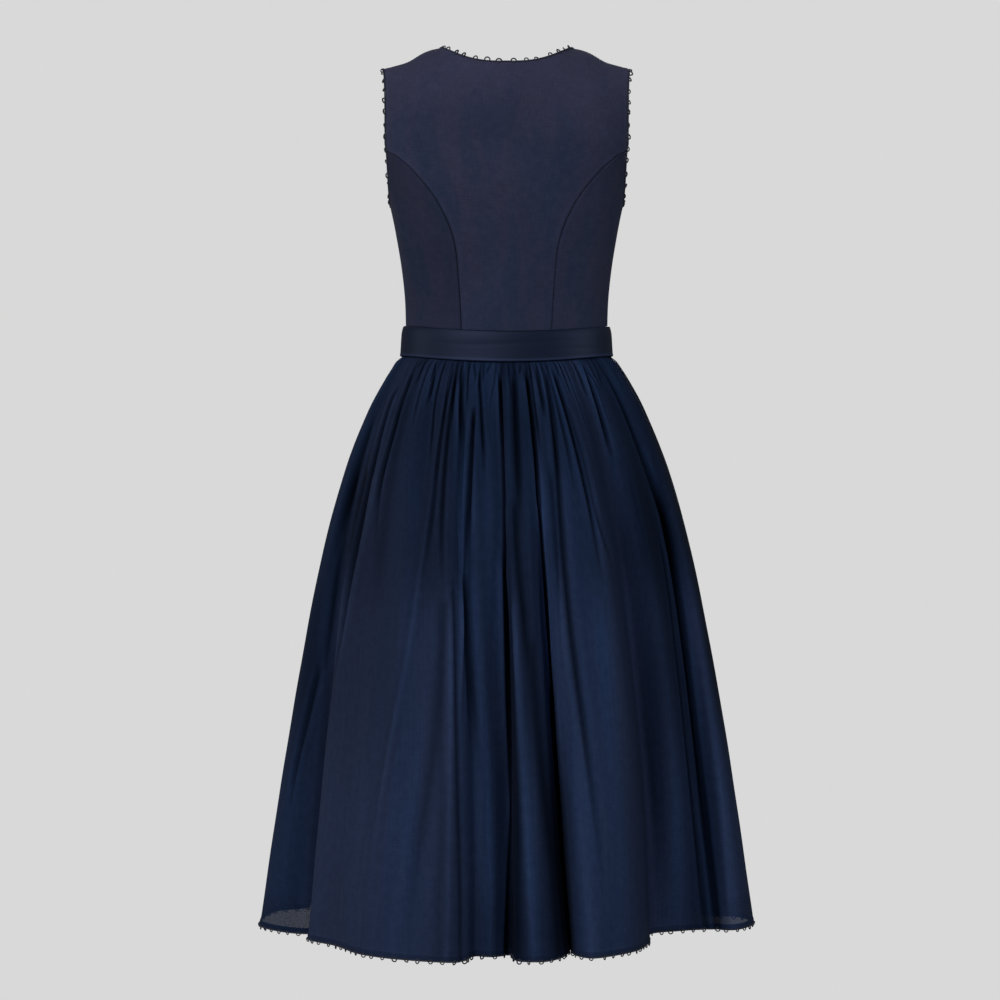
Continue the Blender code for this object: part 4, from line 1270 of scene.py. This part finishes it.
def build_bodice(settings, colours):
    """The seven panels of the bodice."""
    material = bodice_finish(colours)
    wall = settings.bodice_wall
    angles, rises = centre_panel(BACK)
    angles = np.concatenate([-angles[:, :0:-1], angles], axis=1)
    rises = np.concatenate([rises[:, :0:-1], rises], axis=1)
    build_panel("back_centre", angles, rises, (0.330, 0.400), 0.0880, wall, material)
    for side_name, sign in (("left", 1.0), ("right", -1.0)):
        for name, make, half, flat, area in (
            ("back_side_", side_panel, BACK, (0.125, 0.245), 0.0235),
            ("front_side_", side_panel, FRONT, (0.145, 0.240), 0.0275),
            ("front_centre_", centre_panel, FRONT, (0.170, 0.420), 0.0350),
        ):
            angles, rises = make(half)
            build_panel(name + side_name, sign * angles, rises, flat, area, wall, material)


def band_creases(angle, share):
    """How deep the soft creases lie in the waistband."""
    sink = 0.0
    for depth, width, height, swing, waves, shift, middle, spread in BAND_CREASES:
        gap = (share - height - swing * np.sin(waves * angle + shift)) * BAND_HEIGHT
        sink = sink + depth * trough(gap, width) * bump(angle - middle, spread)
    return sink


def build_waistband(settings, colours):
    """The waistband, closed at the centre front."""
    waist_half = TORSO[-1][HALF_WIDTH]
    gap = BAND_END_GAP / waist_half
    angle, share = np.meshgrid(
        lerp(gap - math.pi, math.pi - gap, crowded(BAND_COLUMNS)), crowded(BAND_ROWS)[::-1]
    )
    from_top, from_foot = share * BAND_HEIGHT, (1.0 - share) * BAND_HEIGHT
    from_end = (math.pi - np.abs(angle)) * waist_half
    topstitch = bump(from_foot - TOPSTITCH_RISE, TOPSTITCH_WIDTH)
    loose = BAND_LOOSENESS * bump(angle, 0.55) * bump(share, 0.25)
    edges = np.minimum(share, 1.0 - share) * BAND_HEIGHT
    rolled = np.maximum(edge_roll(edges, 1.0), edge_roll(from_end, 1.2))
    stand = table_value(BAND_PROFILE, share) + loose + TOPSTITCH_RIDGE * topstitch
    stand = stand - band_creases(angle, share) - rolled * 0.9
    level = BAND_TOP - BAND_HEIGHT * share
    side, back = ring_point(angle, level, stand)
    points = np.stack([side, back, level - waist_dip(angle)], axis=-1)
    points[..., 2] += BAND_WAVE * np.sin(2.0 * angle + 0.6) * (1.0 - share)

    # Painted highlight along the topstitch ridge, painted shade at the lower edge, a painted
    # shadow under the top edge at the back, and painted shade on the left and where the ends
    # meet.
    top_shadow = bump(from_top, 1.5) * bump(angle + 0.05, 0.5)
    left_shadow = bump(angle - 1.0, 0.5)
    painted_light = 1.0 + 1.6 * topstitch - 0.5 * bump(from_foot, 0.9) - 0.75 * top_shadow
    painted_light = painted_light * (1.0 - 0.22 * left_shadow) * (1.0 - 0.6 * bump(from_end, 1.0))
    across, up = distances(points, 1), distances(points, 0)
    piece = cloth_piece("satin_band", points, across, up, settings.band_wall, {"painted_light": painted_light})
    settled(piece, "waistband", band_finish(colours))


def skirt_ring(settings):
    """The skirt's cloth as one closed ring, with its lengths, places and the creases' painted
    shade.
    """
    places = np.concatenate([
        even_places(first, last, columns)[:-1] for _, first, last, columns, _ in WIDTHS
    ])
    points = skirt_points(fold_plan(places, SKIRT_SHARES), SKIRT_SHARES)
    normals = closed_round(normals_of(points, closed=True))
    ring = closed_round(points)
    lengths = distances(ring, 1)
    around = np.append(places, float(FOLD_COUNT))
    relief = Relief(lengths, around)
    for crease in (*CREASES.values(), *front_creases()):
        relief.cut(crease, CREASE_EASE, CREASE_PAINTED_SHADE)
    for gather in gathers(lengths, around, settings):
        relief.cut(gather, GATHER_EASE, GATHER_PAINTED_SHADE)

    fall = SKIRT_FALLS[:, None]
    sink = relief.sink * (smooth((fall - 5.0) / 9.0) * 0.92 + 0.08)
    sink += ripples(ring, seed=5, wavelength=140.0, depth=0.9) * smooth(fall / 150.0)
    sink -= HEM_STEP * smooth((settings.hem_band / MM - (SKIRT_LENGTH - fall)) / 0.8)
    for seam in WIDTH_SEAMS:
        gap = np.abs(lengths - lengths[:, seam, None])
        sink += edge_roll(gap, WIDTH_SEAM_ROLL) * smooth(fall / 30.0)
    ring[..., 2] += table_value(HEM_LOOKS, around, LIFT) * smooth(fall / SKIRT_LENGTH)
    return ring - normals * sink[..., None], lengths, around, relief.shade


def build_skirt(settings, colours):
    """The three widths of the skirt, cut out of one ring of folds, creases and gathers."""
    ring, lengths, around, shade = skirt_ring(settings)
    rows, columns = shade.shape
    across = np.tile(lengths[rows // 2], (rows, 1))
    up = np.tile(SKIRT_LENGTH - SKIRT_FALLS[:, None], (1, columns))
    sheer = np.clip(table_value(HEM_LOOKS, around, SHEER), 0.0, 1.0)
    tints_and_painted_light = {
        "purple": cloth_purple(around, SKIRT_SHARES),
        "sheer": np.tile(sheer, (rows, 1)),
        # Painted light and shade by place, darkened further by the creases' painted shade.
        "painted_light": painted_skirt_light(around, SKIRT_SHARES) * np.clip(1.0 - shade, 0.08, 1.7),
    }
    material = skirt_finish(colours, settings)
    for (node, *_, flat), first, last in zip(WIDTHS, WIDTH_SEAMS, WIDTH_SEAMS[1:]):
        cut = slice(first, last + 1)
        piece = cloth_piece(
            node + "_width", ring[:, cut], across[:, cut], up[:, cut], settings.skirt_wall,
            {name: values[:, cut] for name, values in tints_and_painted_light.items()},
        )
        settled(piece, node, material)
    return ring[-1]


def lining_reach(angle, shares):
    """How far out the lining may hang: inside every fold near each direction, softened."""
    outline = fold_plan(np.arange(4 * FOLD_COUNT) / 4.0, shares)
    directions = np.arctan2(outline[..., 0], outline[..., 1])
    reaches = np.hypot(outline[..., 0], outline[..., 1])
    away = directions[:, None, :] - angle[None, :, None]
    away = np.abs((away + math.pi) % (2 * math.pi) - math.pi)
    reach = np.where(away < LINING_WINDOW, reaches[:, None, :], np.inf).min(axis=-1)
    window = np.hanning(LINING_BLUR) / np.hanning(LINING_BLUR).sum()
    half = LINING_BLUR // 2
    padded = np.concatenate([reach[:, -1 - half : -1], reach, reach[:, 1 : 1 + half]], axis=1)
    return np.stack([np.convolve(row, window, mode="valid") for row in padded])


def build_lining(settings, colours):
    """A plain inner tube that stays inside the deepest fold near each direction."""
    top_share = LINING_TOP_DROP / SKIRT_LENGTH
    hem_share = 1.0 - LINING_HEM_RISE / SKIRT_LENGTH
    shares = lerp(top_share, hem_share, np.linspace(0.0, 1.0, LINING_ROWS + 1) ** 1.6)
    angle = np.linspace(-math.pi, math.pi, LINING_COLUMNS + 1)
    reach = lining_reach(angle, shares)
    plan = np.stack([reach * np.sin(angle), reach * np.cos(angle)], axis=-1)
    points = skirt_points(plan, shares)
    below = np.clip(shares / LINING_EASE_SPAN, 0.0, 1.0)[:, None]
    ease = lerp(LINING_EASE_AT_WAIST, LINING_EASE_BELOW, below)
    waves = np.sin(angle * LINING_WAVES + 2.0 * np.sin(angle * 3.0))
    ease = ease + LINING_WAVE_DEPTH * waves * below
    left_hem = bump(angle - 1.75, 0.45) * smooth((shares - 0.6) / 0.4)[:, None]
    ease = ease + LINING_LEFT_EASE * left_hem
    length = np.hypot(points[..., 0], points[..., 1])
    points[..., :2] *= (1.0 - ease / length)[..., None]
    across = np.tile(distances(points, 1)[LINING_ROWS // 2], (LINING_ROWS + 1, 1))
    up = distances(points, 0)
    piece = cloth_piece("lining_tube", points, across, up, settings.lining_wall, {})
    settled(piece, "skirt_lining", lining_finish(colours))


# Picot edging. An edge is given by its path, its outward directions and the cloth's normals.


def along_edge(values, length, spots):
    """Points or directions along an edge, at some lengths from its start."""
    return np.stack([np.interp(spots, length, column) for column in values.T], axis=1)


def resampled(edge, spacing):
    """An edge at even steps of about one spacing."""
    length = distances(edge[0], 0)
    spots = np.linspace(0.0, length[-1], max(int(length[-1] / spacing), 8) + 1)
    return [along_edge(values, length, spots) for values in edge]


def loop_copies(name, count, settings):
    """A row of crocheted loops: one ring, repeated side by side in one mesh."""
    cord = 0.5 * settings.cord_width
    ring = 0.5 * settings.picot_width - cord
    bpy.ops.object.select_all(action="DESELECT")
    bpy.ops.mesh.primitive_torus_add(
        major_segments=LOOP_SEGMENTS, minor_segments=5, major_radius=ring, minor_radius=cord
    )
    loops = bpy.context.object
    loops.name = name
    repeat = loops.modifiers.new("row of loops", "ARRAY")
    repeat.count = count
    bpy.ops.object.modifier_apply(modifier=repeat.name)
    return loops


def lay_loops(loops, count, edge, settings, seed, reach):
    """Stands each loop of a row on the edge, a little uneven in size, lean and turn.

    Where an edge turns over the shoulder its loops are drawn in, and so are smaller.
    """
    middle, out, face = edge
    draw = np.random.default_rng(seed)
    places = np.empty(len(loops.data.vertices) * 3)
    loops.data.vertices.foreach_get("co", places)
    ring = places.reshape(count, -1, 3)[0] / MM
    along = unit(np.cross(out, face))
    narrow = 1.0 - 0.16 * smooth((0.5 - ring[:, 1]) / 3.0)
    height = ring[:, 1] * 0.98 + 0.16 * settings.picot_width / MM
    turn_over = bump(middle[:, 2:] + 3.0, 14.0) * bump(middle[:, 1:2], 26.0)
    size = reach * draw.uniform(*LOOP_SIZES, (count, 1)) * (1.0 - 0.62 * turn_over)
    out = unit(out + face * draw.normal(0.0, LOOP_LEAN, (count, 1)))
    out = unit(out + along * draw.normal(0.0, LOOP_TILT, (count, 1)))
    turn = draw.normal(0.0, LOOP_TURN, (count, 1))
    along = unit(along * np.cos(turn) + face * np.sin(turn))
    along = unit(along - out * (along * out).sum(axis=1, keepdims=True))
    side = np.cross(along, out)
    placed = middle[:, None, :] + size[:, None, :] * (
        (ring[:, 0] * narrow)[None, :, None] * along[:, None, :]
        + height[None, :, None] * out[:, None, :]
        + ring[None, :, 2:] * side[:, None, :]
    )
    loops.data.vertices.foreach_set("co", (placed * MM).ravel())
    loops.data.update()


def edge_cord(name, edge, closed, settings):
    """The crocheted base of the loops: a thin tube with a small bump for every stitch."""
    path, out, face = edge
    tube, row, column = flat_grid(name, len(path) - 1, CORD_SIDES)
    turn = column * 2 * math.pi / CORD_SIDES
    stitches = np.abs(np.sin(distances(path, 0)[row] * STITCH_TURN))
    radius = CORD_SHARE * settings.cord_width / MM * (0.95 + 0.45 * stitches)
    if not closed:
        radius = np.where((row == 0) | (row == len(path) - 1), 0.0, radius)
    rim = np.cos(turn)[:, None] * out[row] + np.sin(turn)[:, None] * face[row]
    placed = path[row] + CORD_STAND * out[row] + radius[:, None] * rim
    tube.data.vertices.foreach_set("co", (placed * MM).ravel())
    bpy.ops.object.mode_set(mode="EDIT")
    bpy.ops.mesh.select_all(action="SELECT")
    bpy.ops.mesh.remove_doubles(threshold=MERGE_DISTANCE)
    bpy.ops.mesh.normals_make_consistent(inside=False)
    bpy.ops.object.mode_set(mode="OBJECT")
    return tube


def picot_row(name, node, edge, settings, material, seed, reach=1.0, closed=True):
    """A crocheted edging along an edge, as a cord with a row of loops."""
    path, out, face = edge
    length = distances(path, 0)
    count = round(length[-1] * MM / settings.picot_pitch)
    draw = np.random.default_rng(seed)
    shift = draw.uniform(-LOOP_SPACING, LOOP_SPACING, count)
    spots = (np.arange(count) + 0.5 + shift) * length[-1] / count
    middle, loop_out, loop_face = (along_edge(values, length, spots) for values in edge)
    loops = loop_copies(name, count, settings)
    loop_edge = (middle, unit(loop_out), unit(loop_face))
    lay_loops(loops, count, loop_edge, settings, seed + 50, reach)
    cord = edge_cord(name + "_cord", (path, unit(out), unit(face)), closed, settings)
    bpy.ops.object.select_all(action="DESELECT")
    cord.select_set(True)
    loops.select_set(True)
    bpy.context.view_layer.objects.active = loops
    bpy.ops.object.join()
    settled(loops, node, material)


def edge_frame(points_at, places, sign=1.0):
    """Path, outward directions and cloth normals along an edge of the bodice."""
    angle, rise = points_at(places)
    turn, climb = 0.004, 0.2
    path = bodice_point(angle, rise)
    width = bodice_point(angle + turn, rise) - bodice_point(angle - turn, rise)
    height = bodice_point(angle, rise + climb) - bodice_point(angle, rise - climb)
    normals = unit(np.cross(height, width))
    along = unit(np.gradient(path, axis=0))
    outward = unit(np.cross(along, normals))
    flip = np.array((sign, 1.0, 1.0))
    return path * flip, outward * flip, normals * flip


def armhole_places(places):
    """Angle and rise by place: 0 at the underarm, 1 at the shoulder and 2 at the underarm."""
    back = armhole_edge(np.clip(places, 0.0, 1.0), BACK)
    front = armhole_edge(np.clip(2.0 - places, 0.0, 1.0), FRONT)
    return tuple(np.where(places <= 1.0, b, f) for b, f in zip(back, front))


def neck_places(places):
    """Angle and rise by place: -2 and 2 at the centre front, 0 at the centre back."""
    inner = np.abs(places)
    front = math.pi - NECK_ANGLE * np.clip(2.0 - inner, 0.0, 1.0)
    angle = np.where(inner <= 1.0, NECK_ANGLE * inner, front)
    rise = np.where(inner <= 1.0, top_rise(angle, BACK), top_rise(angle, FRONT))
    return angle * np.where(places < 0.0, -1.0, 1.0), rise


def build_picots(settings, colours):
    """The edging of the neck and of both armholes."""
    material = cord_finish(colours)
    neck = resampled(edge_frame(neck_places, np.linspace(-1.9999, 1.9999, 900)), PICOT_STEP)
    picot_row("neck_picots", "neck_trim", neck, settings, material, seed=3, closed=False)
    for side_name, sign, seed in (("left", 1.0, 4), ("right", -1.0, 6)):
        path, out, face = edge_frame(armhole_places, np.linspace(0.0, 2.0, 700), sign)
        centre = np.array((sign * 150.0, 0.0, -120.0))
        out = out if ((centre - path) * out).sum() > 0.0 else -out
        edge = resampled((path, out, face), PICOT_STEP)
        name, node = "armhole_picots_" + side_name, "armhole_trim_" + side_name
        picot_row(name, node, edge, settings, material, seed)


def build_hem_picots(settings, colours, hem):
    """The edging of the hem, given by the points along the skirt's lower edge."""
    along = np.roll(hem[:-1], -1, axis=0) - np.roll(hem[:-1], 1, axis=0)
    face = unit(np.cross(along, (0.0, 0.0, 1.0)))
    face = np.concatenate([face, face[:1]])
    out = np.tile((0.0, 0.0, -1.0), (len(hem), 1))
    edge = resampled((hem, out, face), HEM_PICOT_STEP)
    material = cord_finish(colours)
    picot_row("hem_picots", "hem_trim", edge, settings, material, seed=9, reach=0.86)


# Stage


def build_room(colours):
    """A round room with a flat floor, seen but casting no light of its own on the dress."""
    bpy.ops.object.select_all(action="DESELECT")
    bpy.ops.mesh.primitive_uv_sphere_add(segments=96, ring_count=48, radius=ROOM_RADIUS)
    room = bpy.context.object
    room.name = "stage_room"
    floor = CAD_BOX[0][2] - FLOOR_DROP
    for vertex in room.data.vertices:
        vertex.co.z = max(vertex.co.z, floor)
    glow = {"Color": colours.stage, "Strength": 1.0}
    room.data.materials.append(Finish("stage_paint").surface(glow, "ShaderNodeEmission"))
    room.data.shade_smooth()
    for ray in ("diffuse", "glossy", "transmission", "volume_scatter", "shadow"):
        setattr(room, "visible_" + ray, False)


def build_lights(settings):
    """Soft light all round, and the lamps."""
    world = bpy.data.worlds.new("soft fill")
    world.use_nodes = True
    background = world.node_tree.nodes["Background"]
    background.inputs["Color"].default_value = (0.9, 0.95, 1.0, 1.0)
    background.inputs["Strength"].default_value = settings.fill
    bpy.context.scene.world = world
    for name, place, size, share in LAMPS:
        light = bpy.data.lights.new(name, "AREA")
        light.size = size
        light.energy = settings.key * share
        lamp = bpy.data.objects.new(name, light)
        bpy.context.scene.collection.objects.link(lamp)
        lamp.location = place
        aim = Vector(LAMP_AIM) - lamp.location
        lamp.rotation_euler = aim.to_track_quat("-Z", "Y").to_euler()


def build_camera():
    """The camera, level and square behind the dress."""
    camera_data = bpy.data.cameras.new("back view")
    camera_data.lens = CAMERA_LENS
    camera_data.sensor_width = CAMERA_SENSOR
    camera = bpy.data.objects.new("back view", camera_data)
    bpy.context.scene.collection.objects.link(camera)
    camera.location = CAMERA_PLACE
    camera.rotation_euler = (QUARTER_TURN, 0.0, math.pi)
    bpy.context.scene.camera = camera
    bpy.context.scene.view_settings.view_transform = "Standard"


def build_stage(settings, colours):
    """A pale round room, soft light from the left and above, and the camera behind the dress."""
    build_room(colours)
    build_lights(settings)
    build_camera()


# Add-on


def colour_property(name, description, default):
    return bpy.props.FloatVectorProperty(
        name=name, description=description, default=default, subtype="COLOR", min=0.0, max=1.0
    )


def length_property(name, description, default):
    return bpy.props.FloatProperty(
        name=name, description=description, default=default, unit="LENGTH", min=0.0
    )


class DirndlSizes(bpy.types.PropertyGroup):
    """Sizes that a dressmaker would change."""

    bodice_wall: length_property("Bodice cloth", "Thickness of the bodice's cloth", 0.0009)
    band_wall: length_property("Band cloth", "Thickness of the folded waistband", 0.0014)
    skirt_wall: length_property("Skirt cloth", "Thickness of the skirt's cloth", 0.0005)
    lining_wall: length_property("Lining cloth", "Thickness of the lining", 0.0004)
    hem_band: length_property("Hem", "Height of the narrow hem", 0.007)
    sheer_height: length_property("Sheer edge", "Height of the sheer edge over the hem", 0.027)
    picot_pitch: length_property("Picot pitch", "Distance from loop to loop", 0.0165)
    picot_width: length_property("Picot width", "Width of one loop", 0.0084)
    cord_width: length_property("Cord", "Thickness of the picot cord", 0.0019)
    gather_depth: length_property("Gather depth", "Depth of a fine gather", 0.0024)
    gather_count: bpy.props.IntProperty(
        name="Gathers", description="Number of fine gathers under the band", default=104
    )
    gather_seed: bpy.props.IntProperty(
        name="Gather seed", description="Which uneven spread of gathers", default=11
    )
    sheer_share: bpy.props.FloatProperty(
        name="Sheerness", description="Light that one face of the sheer edge lets through",
        default=0.25, min=0.0, max=1.0,
    )
    key: bpy.props.FloatProperty(name="Key", description="Key light in watts", default=120.0)
    fill: bpy.props.FloatProperty(name="Fill", description="Soft light all round", default=0.14)


class DirndlColours(bpy.types.PropertyGroup):
    """Colours of the cloth and the stage."""

    bodice_blue: colour_property("Bodice, blue", "Bluer bands", (0.0180, 0.0262, 0.0570))
    bodice_purple: colour_property("Bodice, purple", "Redder bands", (0.0300, 0.0300, 0.0590))
    band_dark: colour_property("Band, dark", "Shaded satin", (0.0043, 0.0078, 0.0200))
    band_light: colour_property("Band, light", "Lit satin", (0.0072, 0.0106, 0.0255))
    skirt_blue: colour_property("Skirt, blue", "Shot satin, blue side", (0.0110, 0.0235, 0.0620))
    skirt_purple: colour_property("Skirt, purple", "Shot satin, purple side",
                                  (0.0170, 0.0240, 0.0535))
    lining: colour_property("Lining", "Plain lining", (0.004, 0.006, 0.014))
    cord: colour_property("Cord, dark", "Shaded picot cord", (0.008, 0.011, 0.024))
    cord_light: colour_property("Cord, light", "Lit picot cord", (0.016, 0.019, 0.038))
    stage: colour_property("Stage", "Room around the dress", (0.694, 0.694, 0.694))


class DIRNDL_OT_bodice(bpy.types.Operator):
    """Sews the seven bodice panels"""

    bl_idname = "dirndl.bodice"
    bl_label = "Bodice"

    def execute(self, context):
        build_bodice(context.scene.dirndl_sizes, context.scene.dirndl_colours)
        return {"FINISHED"}


class DIRNDL_OT_waistband(bpy.types.Operator):
    """Adds the waistband"""

    bl_idname = "dirndl.waistband"
    bl_label = "Waistband"

    def execute(self, context):
        build_waistband(context.scene.dirndl_sizes, context.scene.dirndl_colours)
        return {"FINISHED"}


class DIRNDL_OT_skirt(bpy.types.Operator):
    """Gathers the three skirt widths and edges their hem with picots"""

    bl_idname = "dirndl.skirt"
    bl_label = "Skirt and hem edging"

    def execute(self, context):
        sizes, colours = context.scene.dirndl_sizes, context.scene.dirndl_colours
        build_hem_picots(sizes, colours, build_skirt(sizes, colours))
        return {"FINISHED"}


class DIRNDL_OT_lining(bpy.types.Operator):
    """Hangs the skirt's lining"""

    bl_idname = "dirndl.lining"
    bl_label = "Lining"

    def execute(self, context):
        build_lining(context.scene.dirndl_sizes, context.scene.dirndl_colours)
        return {"FINISHED"}


class DIRNDL_OT_picots(bpy.types.Operator):
    """Edges the neck and the armholes with picot loops"""

    bl_idname = "dirndl.picots"
    bl_label = "Neck and armhole edging"

    def execute(self, context):
        build_picots(context.scene.dirndl_sizes, context.scene.dirndl_colours)
        return {"FINISHED"}


class DIRNDL_OT_stage(bpy.types.Operator):
    """Sets up the room, the lights and the camera"""

    bl_idname = "dirndl.stage"
    bl_label = "Stage"

    def execute(self, context):
        build_stage(context.scene.dirndl_sizes, context.scene.dirndl_colours)
        return {"FINISHED"}


class DIRNDL_PT_panel(bpy.types.Panel):
    """Lists the pieces and their settings"""

    bl_idname = "DIRNDL_PT_panel"
    bl_label = "Dirndl"
    bl_space_type = "VIEW_3D"
    bl_region_type = "UI"
    bl_category = "Dirndl"

    def draw(self, context):
        for group in (context.scene.dirndl_sizes, context.scene.dirndl_colours):
            for name in group.__annotations__:
                self.layout.prop(group, name)
        for operator in OPERATORS:
            self.layout.operator(operator.bl_idname)


OPERATORS = (
    DIRNDL_OT_bodice,
    DIRNDL_OT_waistband,
    DIRNDL_OT_skirt,
    DIRNDL_OT_lining,
    DIRNDL_OT_picots,
    DIRNDL_OT_stage,
)
CLASSES = (DirndlSizes, DirndlColours, *OPERATORS, DIRNDL_PT_panel)


def register():
    for item in CLASSES:
        bpy.utils.register_class(item)
    bpy.types.Scene.dirndl_sizes = bpy.props.PointerProperty(type=DirndlSizes)
    bpy.types.Scene.dirndl_colours = bpy.props.PointerProperty(type=DirndlColours)


def unregister():
    del bpy.types.Scene.dirndl_sizes
    del bpy.types.Scene.dirndl_colours
    for item in reversed(CLASSES):
        bpy.utils.unregister_class(item)


def main():
    register()
    bpy.ops.dirndl.bodice()
    bpy.ops.dirndl.waistband()
    bpy.ops.dirndl.skirt()
    bpy.ops.dirndl.lining()
    bpy.ops.dirndl.picots()
    bpy.ops.dirndl.stage()


if __name__ == "__main__":
    main()
